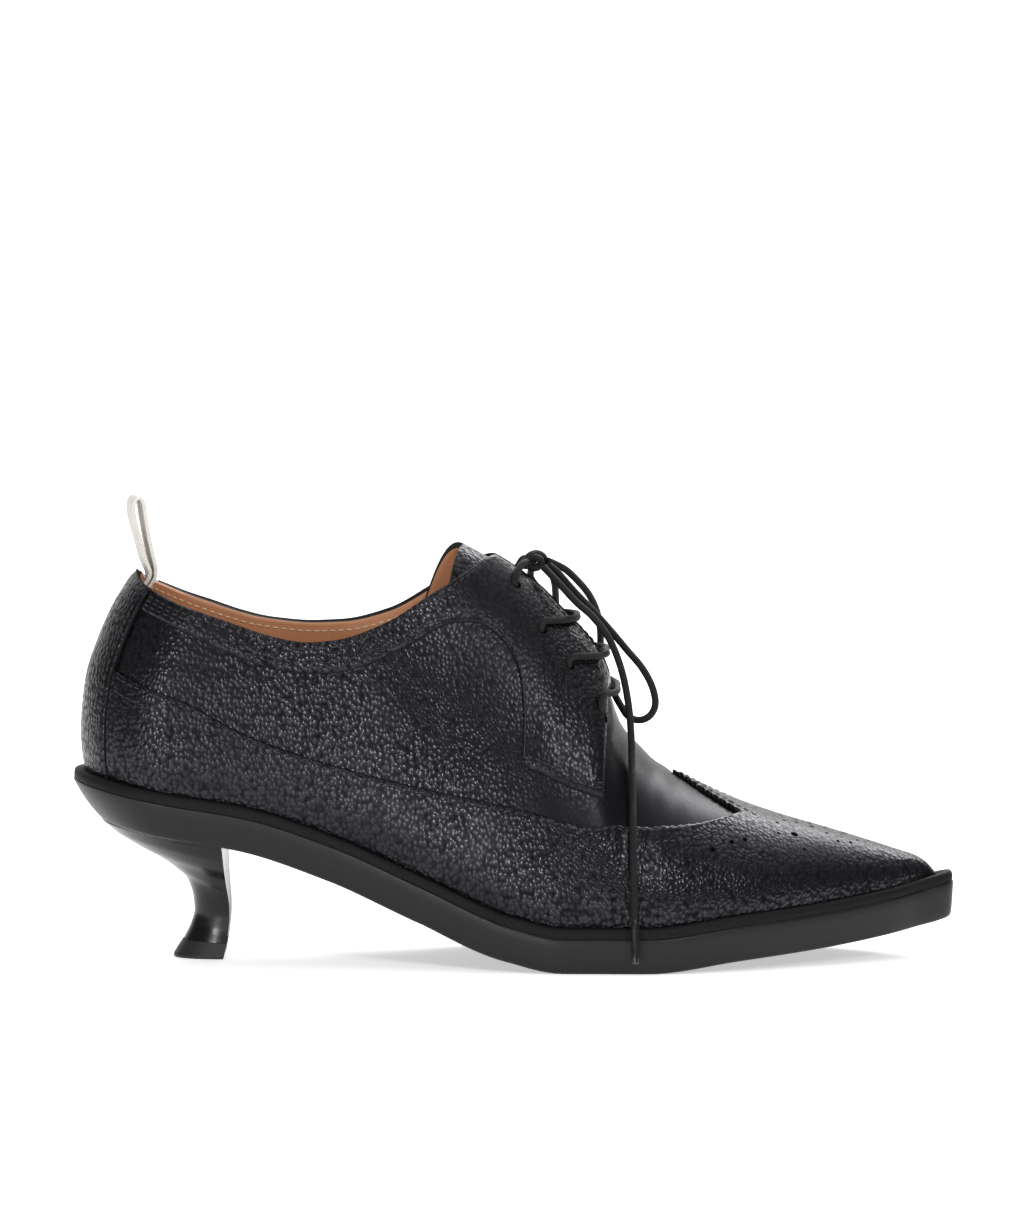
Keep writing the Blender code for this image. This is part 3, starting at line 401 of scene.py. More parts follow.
# Lace: the routes are the part's own, in the shoe's frame, with the shift that centres the sole
sideShift = 0.946
lace = {
    "radius": 1.1, "step": 1.1, "sharpAngle": 40.0, "tipRadius": 1.3, "tipGap": 0.3, "tipStep": 5.5,
    # distance along the tip, share of its radius
    "tipShape": (
        (0.0, 0.80), (0.25, 0.95), (0.9, 1.0), (3.5, 0.95), (7.0, 0.93), (10.5, 0.95), (12.6, 0.98),
        (13.1, 0.9), (13.4, 0.6)),
    "knotCentre": (6.4, -1.0, 121.4), "knotSize": (2.0, 6.6, 1.75), "knotTurns": 2.4, "knotSteps": 30,
    # strand over the knot, from its centre
    "strap": (
        (-3.0, -4.3, -1.6), (-2.6, -3.4, 0.9), (-1.0, -1.8, 2.5), (1.2, 0.4, 2.6), (2.9, 2.2, 1.1),
        (3.2, 3.4, -1.2)),
    "strapStep": 0.8,
    "outerLoop": (
        (10.8, -1.8, 120.6), (13.8, -2.4, 118.0), (18.4, -3.2, 112.8), (24.6, -4.0, 106.4),
        (29.8, -4.6, 100.6), (34.7, -5.2, 94.8), (39.0, -6.0, 89.8), (42.0, -6.7, 84.6),
        (43.3, -7.2, 79.8), (42.8, -7.6, 76.6), (40.8, -7.8, 74.3), (37.8, -7.6, 73.6),
        (34.9, -6.8, 74.8), (32.9, -5.6, 77.6), (30.6, -3.8, 81.5), (27.9, -2.7, 86.2),
        (25.2, -2.2, 91.2), (21.0, -1.9, 98.0), (16.4, -1.8, 103.6), (12.0, -1.8, 108.4),
        (8.0, -1.7, 112.9), (5.6, -1.6, 116.0), (4.9, -1.6, 117.9)),
    "innerLoop": (
        (10.4, 1.1, 121.7), (15.4, 4.0, 119.0), (19.3, 7.4, 115.2), (23.1, 11.6, 110.2),
        (25.7, 16.4, 104.0), (26.6, 21.2, 97.0), (26.4, 26.0, 88.6), (25.9, 29.2, 81.8),
        (25.1, 31.4, 77.0), (23.6, 32.8, 73.6), (20.8, 33.6, 71.7), (17.5, 33.6, 71.9),
        (14.9, 32.8, 74.1), (13.7, 31.2, 77.8), (13.2, 28.4, 84.0), (12.6, 25.8, 92.8),
        (12.7, 22.2, 101.2), (12.8, 17.6, 108.6), (12.4, 12.2, 114.0), (11.2, 7.4, 117.6),
        (9.2, 3.2, 120.0)),
    "outerEnd": (
        (9.2, -5.2, 120.2), (13.6, -7.6, 115.8), (19.2, -8.8, 109.8), (24.4, -9.6, 105.2),
        (29.4, -10.6, 98.4), (32.9, -12.2, 89.6), (35.0, -14.4, 79.6), (35.9, -17.4, 69.8),
        (36.1, -21.4, 62.4), (36.2, -26.6, 57.2), (36.3, -31.6, 51.2), (36.4, -37.2, 44.8),
        (36.5, -41.4, 34.8), (36.7, -44.0, 26.8), (36.8, -45.6, 20.4), (36.9, -46.2, 16.9)),
    "innerEnd": (
        (6.2, 5.0, 121.4), (5.4, 9.8, 118.8), (4.8, 14.6, 114.2), (4.2, 20.0, 105.2), (4.0, 24.6, 95.2),
        (4.0, 29.0, 81.6), (4.2, 32.2, 66.0), (4.4, 34.2, 52.0), (4.6, 35.4, 41.0), (4.8, 36.4, 31.0),
        (5.0, 37.4, 24.0)),
}


def shifted(points):
    return [Vector(point) + Vector((0.0, sideShift, 0.0)) for point in points]


def layStrand(mesh, points):
    return layTube(mesh, points, [lace["radius"]] * len(points))


def makeStrand(name, node, route):
    points = smoothRoute(route, lace["step"])
    mesh = startTube()
    length = layStrand(mesh, points)
    return addPiece(name, mesh, ["lace"], [node], lace["sharpAngle"]), points, length


def makeCord(name, route, node):
    piece, points, length = makeStrand(name, node, shifted(route))
    path = [point * mm for point in points]
    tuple(path[0])


def makeTip(name, route, node):
    # Sleeve shrunk on the lace's end, a little waisted, with rounded rims
    run = smoothRoute(shifted(route), lace["tipStep"])
    along = (run[-1] - run[-2]).normalized()
    start = run[-1] - along * lace["tipGap"]
    points = [start + along * reach for reach, share in lace["tipShape"]]
    mesh = startTube()
    layTube(mesh, points, [lace["tipRadius"] * share for reach, share in lace["tipShape"]])
    return addPiece(name, mesh, ["laceTip"], [node], lace["sharpAngle"])


def makeKnot():
    # Nearly two and a half tight turns round the roots of the bow, with one strand laid over them
    centre = shifted([lace["knotCentre"]])[0]
    wide, run, high = lace["knotSize"]
    turns = []
    for k in range(lace["knotSteps"] + 1):
        share = k / lace["knotSteps"]
        angle = 2 * math.pi * (lace["knotTurns"] * share + 0.1)
        turns.append(centre + Vector((wide * math.cos(angle), run * (share - 0.5), high * math.sin(angle))))
    strap = smoothRoute([centre + Vector(spot) for spot in lace["strap"]], lace["strapStep"])
    mesh = startTube()
    for points in (turns, strap):
        layStrand(mesh, points)
    return addPiece("knot_lace", mesh, ["lace"], ["lace_knot"], lace["sharpAngle"])


knot = makeKnot()
outerTip = makeTip("tip_outer", lace["outerEnd"], "aglet_lateral")
innerTip = makeTip("tip_inner", lace["innerEnd"], "aglet_medial")
makeCord("bow_outer", lace["outerLoop"], "lace_loop_lateral")
makeCord("bow_inner", lace["innerLoop"], "lace_loop_medial")
makeCord("end_outer", lace["outerEnd"], "lace_end_lateral")
makeCord("end_inner", lace["innerEnd"], "lace_end_medial")
print("lace: bow and ends laid")


# The last: the form under the leather, from which sole, upper and overlays are all worked out
last = {
    "length": 270.0, "ballWidth": 86.0, "instep": 124.0, "heelLift": 55.4, "soleThick": 10.6, "seam": 0.3,
    "seatX": -105.0, "seatRadius": 30.0, "toeCapX": 126.0, "toePower": 3.0,
    "heelX": -104.0, "heelRadius": 26.9, "heelGirth": 42.0, "closeX": 116.0, "tipX": 128.2, "closePower": 2.2,
    "setIn": 3.0, "setInHeel": 2.6, "setInRun": 50.0, "tuck": 2.2, "tuckHeight": 16.0, "tuckHalf": 10.0,
    "leanEnd": -50.0, "crestDrift": 3.5, "noseDrop": 0.5, "nosePower": 6,
    # share of the length, rise of the seat, outer and inner half width, undercut of the sole's side
    "sole": (
        (0.000, 1.000, 0.343, 0.343, 8.4), (0.111, 0.896, 0.343, 0.343, 3.6),
        (0.200, 0.823, 0.349, 0.331, 3.3), (0.300, 0.666, 0.366, 0.308, 2.6),
        (0.400, 0.454, 0.419, 0.326, 2.0), (0.500, 0.248, 0.483, 0.401, 1.5),
        (0.560, 0.191, 0.509, 0.448, 1.2), (0.650, 0.191, 0.510, 0.488, 1.0),
        (0.750, 0.244, 0.430, 0.448, 0.9), (0.850, 0.290, 0.279, 0.331, 0.8),
        (0.930, 0.345, 0.134, 0.203, 0.7), (0.967, 0.381, 0.053, 0.128, 0.7),
        (1.000, 0.422, 0.020, 0.100, 0.7)),
    # place along the shoe, height of the crest as a share of the instep, fullness of the section
    "crest": (
        (-105.0, 1.331, 2.05), (-81.0, 1.290, 2.15), (-54.0, 1.212, 2.70), (-36.0, 1.137, 2.30),
        (-24.0, 1.085, 2.10), (-15.0, 1.048, 2.00), (-4.0, 0.999, 1.96), (7.2, 0.930, 1.95),
        (14.5, 0.868, 1.95), (20.8, 0.812, 1.96), (24.0, 0.771, 1.98), (27.0, 0.714, 2.00),
        (29.8, 0.645, 2.02), (32.6, 0.581, 2.04), (37.2, 0.533, 2.05), (46.3, 0.468, 2.05),
        (60.0, 0.406, 2.05), (78.4, 0.349, 2.08), (96.8, 0.305, 2.12), (115.0, 0.259, 2.18),
        (123.0, 0.236, 2.20), (128.3, 0.216, 2.20)),
    # height as a share of the instep, how far the back leans forward
    "lean": ((0.476, 0.0), (0.589, 0.3), (0.694, 1.7), (0.786, 5.3), (0.875, 10.2), (0.956, 16.4)),
}


def smoothCurve(rows, column):
    # Monotone curve through one column of a table, held level beyond its ends
    knots = [row[0] for row in rows]
    values = [row[column] for row in rows]
    spans = [high - low for low, high in zip(knots, knots[1:])]
    rates = [(high - low) / span for low, high, span in zip(values, values[1:], spans)]
    slopes = [rates[0]]
    for before, after, spanBefore, spanAfter in zip(rates, rates[1:], spans, spans[1:]):
        if before * after <= 0:
            slopes.append(0.0)
            continue
        weightBefore = spanBefore + 2 * spanAfter
        weightAfter = 2 * spanBefore + spanAfter
        slopes.append((weightBefore + weightAfter) / (weightBefore / before + weightAfter / after))
    slopes.append(rates[-1])

    def at(place):
        if place <= knots[0]:
            return values[0]
        if place >= knots[-1]:
            return values[-1]
        i = bisect_right(knots, place) - 1
        t = (place - knots[i]) / spans[i]
        lead = t * (1 - t) ** 2 * slopes[i] + t * t * (t - 1) * slopes[i + 1]
        return values[i] + (values[i + 1] - values[i]) * t * t * (3 - 2 * t) + lead * spans[i]

    return at


def rowCurves(rows):
    # A smooth curve through each column of a table, by the number of the row
    numbered = [(k, *row) for k, row in enumerate(rows)]
    return [smoothCurve(numbered, column) for column in range(1, len(numbered[0]))]


riseAt, outerHalfAt, innerHalfAt, undercutAt = (smoothCurve(last["sole"], column) for column in (1, 2, 3, 4))
crestAt, fullnessAt = (smoothCurve(last["crest"], column) for column in (1, 2))
leanAt = smoothCurve(last["lean"], 1)

# Soft creases of a shoe that is hardly worn: side (0 for both), ends as girth and height, half width, depth
creases = (
    (outerSide, (-116.0, 94.0), (-84.0, 90.0), 1.5, 0.22),
    (outerSide, (-112.0, 89.5), (-80.0, 85.5), 1.3, 0.20),
    (outerSide, (-108.0, 85.8), (-88.0, 83.2), 1.1, 0.16),
    (outerSide, (-30.0, 84.0), (-12.0, 66.0), 4.0, 0.28),
    (innerSide, (-114.0, 93.0), (-82.0, 88.0), 1.5, 0.22),
    (innerSide, (-108.0, 88.0), (-84.0, 84.4), 1.2, 0.18),
    (innerSide, (-28.0, 82.0), (-10.0, 64.0), 4.0, 0.28),
    (outerSide, (30.0, 40.0), (46.0, 30.0), 3.0, 0.20),
    (innerSide, (32.0, 40.0), (48.0, 29.0), 3.0, 0.20),
    (0, (41.0, 30.0), (43.5, 70.0), 2.6, 0.24),
    (0, (48.0, 34.0), (50.5, 70.0), 2.2, 0.16),
)


def mix(low, high, share):
    return low + (high - low) * share


def ease(share):
    share = min(1.0, max(0.0, share))
    return share * share * (3 - 2 * share)


def ramp(value, start, run):
    return ease((value - start) / run)


def creaseAt(girth, height, side):
    depth = 0.0
    for crossed, start, end, halfWidth, deep in creases:
        if crossed not in (0, side):
            continue
        runX, runZ = end[0] - start[0], end[1] - start[1]
        share = ((girth - start[0]) * runX + (height - start[1]) * runZ) / (runX * runX + runZ * runZ)
        share = min(1.0, max(0.0, share))
        apart = math.hypot(girth - start[0] - share * runX, height - start[1] - share * runZ) / halfWidth
        if apart < 3.0:
            # a trough with a low ridge on either lip
            depth += deep * (1.3 * math.exp(-(apart / 1.6) ** 2 / 2) - 2.0 * math.exp(-apart * apart))
    return depth


def alongShare(x):
    return (x + last["length"] / 2) / last["length"]


def soleTop(x):
    return last["heelLift"] * riseAt(alongShare(x))


def soleBottom(x):
    tilt = soleTop(x + 0.5) - soleTop(x - 0.5)
    return max(0.0, soleTop(x) - last["soleThick"] * math.hypot(1.0, tilt))


def crestY(x):
    return last["crestDrift"] * (max(0.0, x) / (last["length"] / 2)) ** 2


def sideWidth(x, side):
    share = outerHalfAt if side == outerSide else innerHalfAt
    return share(alongShare(x)) * last["ballWidth"] - side * crestY(x)


def soleEdge(x, side):
    width = sideWidth(x, side)
    if x < last["seatX"]:
        width *= math.sqrt(max(0.0, 1 - ((last["seatX"] - x) / last["seatRadius"]) ** 2))
    if x > last["toeCapX"]:
        reach = (x - last["toeCapX"]) / (last["length"] / 2 - last["toeCapX"])
        width *= max(0.0, 1 - reach ** last["toePower"]) ** (1 / last["toePower"])
    return Vector((x, crestY(x) + side * width + sideShift, 0.0))


def girthAtTurn(turn):
    return last["heelX"] - last["heelGirth"] * (1 - turn / 90)


def lastPlace(girth):
    if girth < last["heelX"]:
        turn = math.radians(90 * (1 - (last["heelX"] - girth) / last["heelGirth"]))
        return last["heelX"] - last["heelRadius"] * math.cos(turn), math.sin(turn), math.cos(turn), 0.0
    toe = max(0.0, (girth - last["closeX"]) / (last["tipX"] - last["closeX"]))
    return girth, 1.0, 0.0, min(1.0, toe)


def featherHeight(girth):
    return soleTop(lastPlace(girth)[0]) + last["seam"]


def crestHeight(x):
    return last["instep"] * crestAt(x)


def sectionHeight(girth, grow):
    x = max(girth, last["heelX"])
    tilt = crestHeight(x + 0.5) - crestHeight(x - 0.5)
    return crestHeight(x) + grow * math.hypot(1.0, tilt) - featherHeight(girth)


def sectionHalf(girth, side, grow):
    x = max(girth, last["heelX"])
    setIn = mix(last["setInHeel"], last["setIn"], ramp(x, last["heelX"], last["setInRun"]))
    flare = math.hypot(1.0, sideWidth(x + 0.5, side) - sideWidth(x - 0.5, side))
    closing = max(0.0, 1 - lastPlace(girth)[3] ** last["closePower"]) ** (1 / last["closePower"])
    return (sideWidth(x, side) - setIn + grow * flare) * closing


def angleAtHeight(girth, height):
    share = (height - featherHeight(girth)) / sectionHeight(girth, 0.0)
    share = min(1.0, max(0.0, share))
    return math.asin(share ** (fullnessAt(max(girth, last["heelX"])) / 2))


def footAngle(girth, height):
    return angleAtHeight(girth, featherHeight(girth) + height)


def angleAtOffset(girth, side, offset):
    share = min(1.0, offset / sectionHalf(girth, side, 0.0))
    return math.acos(share ** (fullnessAt(girth) / 2))


def lastPoint(girth, angle, side, grow):
    # 0 degrees is the feather edge and 90 the crest; grow is the distance off the last
    footX, turnSine, turnCosine, toe = lastPlace(girth)
    power = 2 / fullnessAt(max(girth, last["heelX"]))
    base = featherHeight(girth)
    climb = max(0.0, math.sin(angle)) ** power
    grow += creaseAt(girth, base + sectionHeight(girth, 0.0) * climb, side)
    # the nose rounds down over its last few millimetres
    rise = sectionHeight(girth, grow) * climb * (1 - last["noseDrop"] * toe ** last["nosePower"])
    across = math.cos(angle) ** power if math.cos(angle) > 1e-6 else 0.0
    half = sectionHalf(girth, side, grow)
    tuck = last["tuck"] * max(0.0, 1 - rise / last["tuckHeight"]) ** 2 * min(1.0, half / last["tuckHalf"])
    lean = leanAt((base + rise) / last["instep"])
    y = crestY(footX) + side * (half - tuck) * across * turnSine + sideShift
    if girth < last["heelX"]:
        x = last["heelX"] + lean - (last["heelRadius"] + grow - tuck) * turnCosine
    else:
        x = girth + lean * ramp(girth, last["leanEnd"], last["heelX"] - last["leanEnd"]) + grow * toe
    return Vector((x, y, base + rise))


def wallPair(girth, angle, side, over, under):
    return lastPoint(girth, angle, side, over), lastPoint(girth, angle, side, under)


def surfaceNormal(girth, angle, side, grow):
    along = lastPoint(girth + 0.4, angle, side, grow) - lastPoint(girth - 0.4, angle, side, grow)
    up = lastPoint(girth, angle, side, grow) - lastPoint(girth, angle - 0.03, side, grow)
    return along.cross(up).normalized() * -side


def stepsFrom(start, end, step):
    count = max(1, round(abs(end - start) / step))
    return [mix(start, end, k / count) for k in range(count + 1)]


def toeSteps(start, end, turnStep):
    # Places that crowd together as the toe closes
    return [mix(start, end, math.sin(math.radians(turn))) for turn in range(0, 91, turnStep)]


def bothSides(columns, place):
    # Closed loop: heel to toe on the outer side and back on the inner one
    outer = [place(column, outerSide) for column in columns]
    inner = [place(column, innerSide) for column in columns[1:-1]]
    return outer + inner[::-1]


def insetLoop(loop, depthAt):
    moved = []
    for i, point in enumerate(loop):
        run = loop[(i + 1) % len(loop)] - loop[i - 1]
        inward = Vector((-run.y, run.x, 0.0)).normalized()
        moved.append(point + inward * depthAt(point.x))
    return moved


def spineOf(point):
    return Vector((point.x, crestY(point.x) + sideShift, point.z))


print("last: worked out")


# Sole, welt, heel and insole
sole = {
    "toeStart": 122.0, "step": 2.5,
    # share of the thickness, share of the undercut, rounding of the two edges
    "side": (
        (0.0, 0.0, 0.50), (0.02, 0.01, 0.12), (0.06, 0.03, 0.0), (0.30, 0.22, 0.0), (0.50, 0.40, 0.0),
        (0.72, 0.64, 0.0), (0.88, 0.85, 0.05), (0.95, 0.93, 0.25), (0.985, 0.98, 0.60), (1.0, 1.0, 1.2)),
}
backTurns = range(0, 84, 4)
soleColumns = (
    [last["seatX"] - last["seatRadius"] * math.cos(math.radians(turn)) for turn in backTurns]
    + stepsFrom(last["seatX"], sole["toeStart"] - 2.0, sole["step"])
    + toeSteps(sole["toeStart"], last["length"] / 2, 5))
lastColumns = (
    [girthAtTurn(turn) for turn in backTurns]
    + stepsFrom(last["heelX"], last["closeX"], sole["step"])
    + toeSteps(last["closeX"] + 2.0, last["tipX"], 5))


def soleLoop(depth, undercut, rounding):
    def inset(x):
        return undercutAt(alongShare(x)) * undercut + rounding

    loop = insetLoop(bothSides(soleColumns, soleEdge), inset)
    for point in loop:
        point.z = mix(soleTop(point.x), soleBottom(point.x), depth)
    return loop


def makeSole():
    mesh = skinLoops([soleLoop(*row) for row in sole["side"]], spineOf)
    addPiece("sole_leather", mesh, ["sole"], ["outsole"])


welt = {
    "height": 3.4, "sunk": -0.3, "innerShare": 0.9,
    # inset from the sole's edge, share of the height
    "profile": (
        (0.50, -0.05), (0.30, 0.10), (0.30, 0.45), (0.42, 0.68), (0.80, 0.88), (1.40, 0.98), (2.2, 1.0)),
}


def lastLoop(grow, height):
    def place(girth, side):
        return lastPoint(girth, footAngle(girth, height), side, grow)

    return bothSides(lastColumns, place)


def makeWelt():
    # The ring's inner face follows the upper column by column, so its outer loops use the same count
    count, final = len(lastColumns), len(soleColumns) - 1
    edge = bothSides([soleColumns[round(k / (count - 1) * final)] for k in range(count)], soleEdge)
    loops = []
    for inset, share in welt["profile"]:
        loop = insetLoop(edge, lambda x: inset)
        for point in loop:
            point.z = soleTop(point.x) + share * welt["height"]
        loops.append(loop)
    loops.append(lastLoop(welt["sunk"], welt["height"] * welt["innerShare"]))
    loops.append(lastLoop(welt["sunk"], 0.0))
    loops.append(loops[0])
    addPiece("welt_leather", skinLoops(loops), ["welt"], ["welt"])


insole = {
    "clear": -2.15, "thick": 2.7,
    # inset from the upper, share of the thickness
    "profile": ((1.2, 0.0), (0.1, 0.15), (0.1, 0.72), (0.3, 0.90), (1.0, 1.0)),
}


def makeInsole():
    loops = []
    for inset, share in insole["profile"]:
        loops.append(lastLoop(insole["clear"] - inset, share * insole["thick"]))
    addPiece("insole_sock", skinLoops(loops, spineOf), ["lining"], ["insole"], sharpAngle=60.0)


heel = {
    "power": 2.4, "hollow": 1.2, "seatLift": 0.8, "sharpAngle": 38.0,
    "seat": (-126.2, -88.5, 25.3),
    # back place and height, front place and height, half width; the last row is a hair lower than the part's,
    # which closes the joint with the tread
    "rows": (
        (-122.0, 39.0, -88.2, 31.5, 22.5), (-115.5, 35.0, -88.0, 28.0, 19.0),
        (-109.0, 31.5, -87.8, 25.0, 15.5), (-104.0, 28.0, -87.5, 22.0, 13.0),
        (-100.3, 24.5, -87.2, 19.5, 11.0), (-98.3, 18.5, -86.9, 16.0, 9.3),
        (-98.0, 14.5, -86.9, 13.0, 8.6), (-99.0, 10.5, -87.2, 9.5, 8.6), (-101.2, 5.8, -87.8, 4.8, 9.0)),
    "tread": (
        (-101.4, 5.7, -87.9, 4.7, 9.0), (-103.4, 2.6, -88.3, 2.2, 9.5), (-104.4, 0.7, -88.6, 0.7, 9.8),
        (-104.1, 0.0, -88.9, 0.0, 9.4)),
    "finer": 5,
}


def heelLoop(back, front, half, heightAt):
    reach, power = front - back, 2 / heel["power"]
    outer = []
    for turn in range(0, 91, 5):
        angle = math.radians(turn)
        y = -half * max(0.0, math.cos(angle)) ** power if turn < 90 else 0.0
        outer.append(Vector((front - reach * math.sin(angle) ** power, y + sideShift, 0.0)))
    inner = [Vector((point.x, 2 * sideShift - point.y, 0.0)) for point in outer[:-1]]
    breast = []
    for k in range(1, 6):
        share = k / 6
        hollow = heel["hollow"] * math.sin(math.pi * share)
        breast.append(Vector((front - hollow, mix(half, -half, share) + sideShift, 0.0)))
    loop = outer + inner[::-1] + breast
    for point in loop:
        point.z = heightAt(point.x)
    return loop


def finerRows(rows):
    curves = rowCurves(rows)
    count = (len(rows) - 1) * heel["finer"]
    return [tuple(curve(k / heel["finer"]) for curve in curves) for k in range(count + 1)]


def heelSkin(rows, seated):
    loops = []
    fine = finerRows(rows)
    if seated:
        for lift in (heel["seatLift"], -last["seam"]):
            loops.append(heelLoop(*heel["seat"], lambda x: soleBottom(x) + lift))
        first = fine[0]
        for share in (0.25, 0.5, 0.75):
            ends = [mix(low, high, share) for low, high in zip(heel["seat"], first[::2])]

            def height(x):
                flat = mix(first[1], first[3], (x - first[0]) / (first[2] - first[0]))
                return mix(soleBottom(x) - last["seam"], flat, share)

            loops.append(heelLoop(*ends, height))
    for back, backZ, front, frontZ, half in fine:
        loops.append(heelLoop(back, front, half, lambda x: mix(backZ, frontZ, (x - back) / (front - back))))
    return skinLoops(loops, spineOf)


def makeHeel():
    angle = heel["sharpAngle"]
    addPiece("heel_lacquer", heelSkin(heel["rows"], True), ["heel"], ["heel"], angle)
    addPiece("heel_tread", heelSkin(heel["tread"], False), ["tread"], ["heel_top_piece"], angle)


makeSole()
makeWelt()
makeInsole()
makeHeel()
print("sole, welt, insole and heel: made")


# Upper: one lasted shell, black outside and tan inside
upper = {
    "wall": 2.0, "rimWall": 1.5, "rimLevel": 0.93, "rimBulge": 0.25, "gripEdge": -84.0, "gripStep": 0.35,
    "throatX": 31.0, "throatRound": 5.0, "halfGap": 6.0, "corner": 0.14, "cornerFade": (20.0, -8.0),
    "eyeletRadius": 1.45, "punchDepth": 12.0,
    # the leather is pulled tight over the vamp, and low down on the quarter beside it: start and run of each
    "vamp": (20.0, 14.0), "quarter": (-12.0, 24.0), "quarterLow": (60.0, -14.0), "tightGrain": 0.12,
    # the collar dips lower under the outer ankle bone
    "collarDip": {outerSide: 1.6, innerSide: -0.6}, "dipX": -62.0, "dipRun": 32.0,
    # girth place of the outer eyelet, distance of the outer and inner one from the crest line
    "eyelets": ((0.5, 12.3, 10.2), (8.4, 18.6, 15.6), (16.8, 21.0, 17.8), (26.7, 23.4, 19.8)),
    # girth place, height
    "topline": (
        (-146.0, 118.7), (-127.0, 114.5), (-107.8, 108.5), (-91.5, 104.1), (-77.6, 101.5), (-63.3, 100.3),
        (-53.0, 100.8), (-39.0, 104.5), (-24.3, 112.9), (-10.2, 121.5), (-3.8, 125.6), (4.0, 132.0)),
}
toplineAt = smoothCurve(upper["topline"], 1)
upperColumns = sorted(
    [girthAtTurn(turn) for turn in stepsFrom(0.0, 85.5, 4.5)] + stepsFrom(last["heelX"], 26.0, 1.6)
    + [upper["gripEdge"] - 0.3] + stepsFrom(26.5, upper["throatX"], 0.5)
    + stepsFrom(32.5, last["closeX"], 1.6)
    + toeSteps(last["closeX"] + 1.0, last["tipX"], 6))
upperLevels = [k / 30 for k in range(29)] + [0.955, 0.975, 0.99, 1.0]
edgeLevels = [0.0, 0.012, 0.03, 0.06, 0.10]  # crowded where an overlay's edge is thinned
overlayLooks = ["upper", "upper", "edge", "edge"]


def openingAngle(girth, side):
    # Collar, then the lacing slot with its round end, then closed over the vamp
    if girth >= upper["throatX"]:
        return math.pi / 2
    dip = upper["collarDip"][side] * ease(1 - abs(girth - upper["dipX"]) / upper["dipRun"])
    collar = angleAtHeight(girth, toplineAt(girth) - dip)
    if girth < last["leanEnd"]:
        return collar
    reach = max(0.0, girth - upper["throatX"] + upper["throatRound"]) / upper["throatRound"]
    slot = angleAtOffset(girth, side, upper["halfGap"] * math.sqrt(max(0.0, 1 - reach * reach)))
    overlap = max(0.0, upper["corner"] - abs(collar - slot)) / upper["corner"]
    fade = ramp(girth, *upper["cornerFade"])
    return min(collar, slot) - overlap ** 2 * upper["corner"] / 4 * fade


def stretched(point):
    # Nearly smooth where the leather is pulled tight
    quarter = ramp(point.x, *upper["quarter"]) * ramp(point.z, *upper["quarterLow"])
    return mix(1.0, upper["tightGrain"], max(ramp(point.x, *upper["vamp"]), quarter))


def rimmed(full, rim, level, start):
    # Thickness that falls to the rim's own over the last levels
    return mix(full, rim, ramp(level, start, 1 - start))


def bothSheets(columns, levels, place):
    return [(columns, levels, partial(place, side)) for side in sides]


def makeCutters(spots):
    # Round punches, each a place on the last with its radius and depth
    mesh = bmesh.new()
    for girth, angle, side, grow, radius, depth in spots:
        normal = surfaceNormal(girth, angle, side, grow)
        turn = normal.to_track_quat("Z", "Y").to_matrix().to_4x4()
        centre = Matrix.Translation(lastPoint(girth, angle, side, grow) * mm)
        bmesh.ops.create_cone(mesh, cap_ends=True, segments=14, radius1=radius * mm, radius2=radius * mm,
                              depth=depth * mm, matrix=centre @ turn)
    for face in mesh.faces:
        face.material_index = 2
    return addObject("punches", toData("punches", mesh))


def punch(piece, spots):
    cutter = makeCutters(spots)
    materials = list(piece.data.materials)
    for material in materials:
        cutter.data.materials.append(material)
    cut = piece.modifiers.new("punched", "BOOLEAN")
    cut.operation = "DIFFERENCE"
    cut.solver = "MANIFOLD"
    cut.object = cutter
    bpy.context.view_layer.update()
    result = bpy.data.meshes.new_from_object(piece.evaluated_get(bpy.context.evaluated_depsgraph_get()))
    before = len(piece.data.polygons)
    piece.modifiers.clear()
    # clearing the slots sets every face to the first one, so the numbers are kept and put back
    numbers = [0] * len(result.polygons)
    result.polygons.foreach_get("material_index", numbers)
    result.materials.clear()
    for material in materials:
        result.materials.append(material)
    result.polygons.foreach_set("material_index", numbers)
    piece.data = result
    bpy.data.objects.remove(cutter, do_unlink=True)
    print("punched:", piece.name, len(spots), "holes,", before, "to", len(result.polygons), "faces")


def facingLift(girth, share):
    return facing["lift"] * share ** facing["liftPower"] * ramp(girth, *facing["liftSpan"])


def onFacing(girth, side, offset, grow):
    return lastPoint(girth, angleAtOffset(girth, side, offset), side, grow + facingLift(girth, 1.0))


def levelGirth(side, offset, height, grow):
    # Girth place where a distance from the crest line is reached at one height
    low, high = -10.0, 40.0
    for halving in range(40):
        middle = (low + high) / 2
        if onFacing(middle, side, offset, grow).z > height:
            low = middle
        else:
            high = middle
    return low


def eyeletPlace(row, side):
    # Both eyelets of a row are at one height
    girth, outerReach, innerReach = upper["eyelets"][row]
    if side == outerSide:
        return girth, outerReach
    height = onFacing(girth, outerSide, outerReach, wing["over"]).z
    return levelGirth(innerSide, innerReach, height, wing["over"]), innerReach


def eyeletSpots(side):
    spots = []
    for row in range(len(upper["eyelets"])):
        girth, reach = eyeletPlace(row, side)
        angle = angleAtOffset(girth, side, reach)
        spots.append((girth, angle, side, 0.0, upper["eyeletRadius"], upper["punchDepth"]))
    return spots


def makeUpper():
    def place(side, girth, level):
        angle = openingAngle(girth, side) * level
        wall = rimmed(upper["wall"], upper["rimWall"], level, upper["rimLevel"])
        if girth < upper["gripEdge"]:
            wall += upper["gripStep"]
        return wallPair(girth, angle, side, 0.0, -wall)

    mesh = makeShell(bothSheets(upperColumns, upperLevels, place), upper["rimBulge"], stretched)
    piece = addPiece("upper_leather", mesh, ["upper", "lining", "edge", "lining"], ["upper"])
    punch(piece, eyeletSpots(outerSide) + eyeletSpots(innerSide))


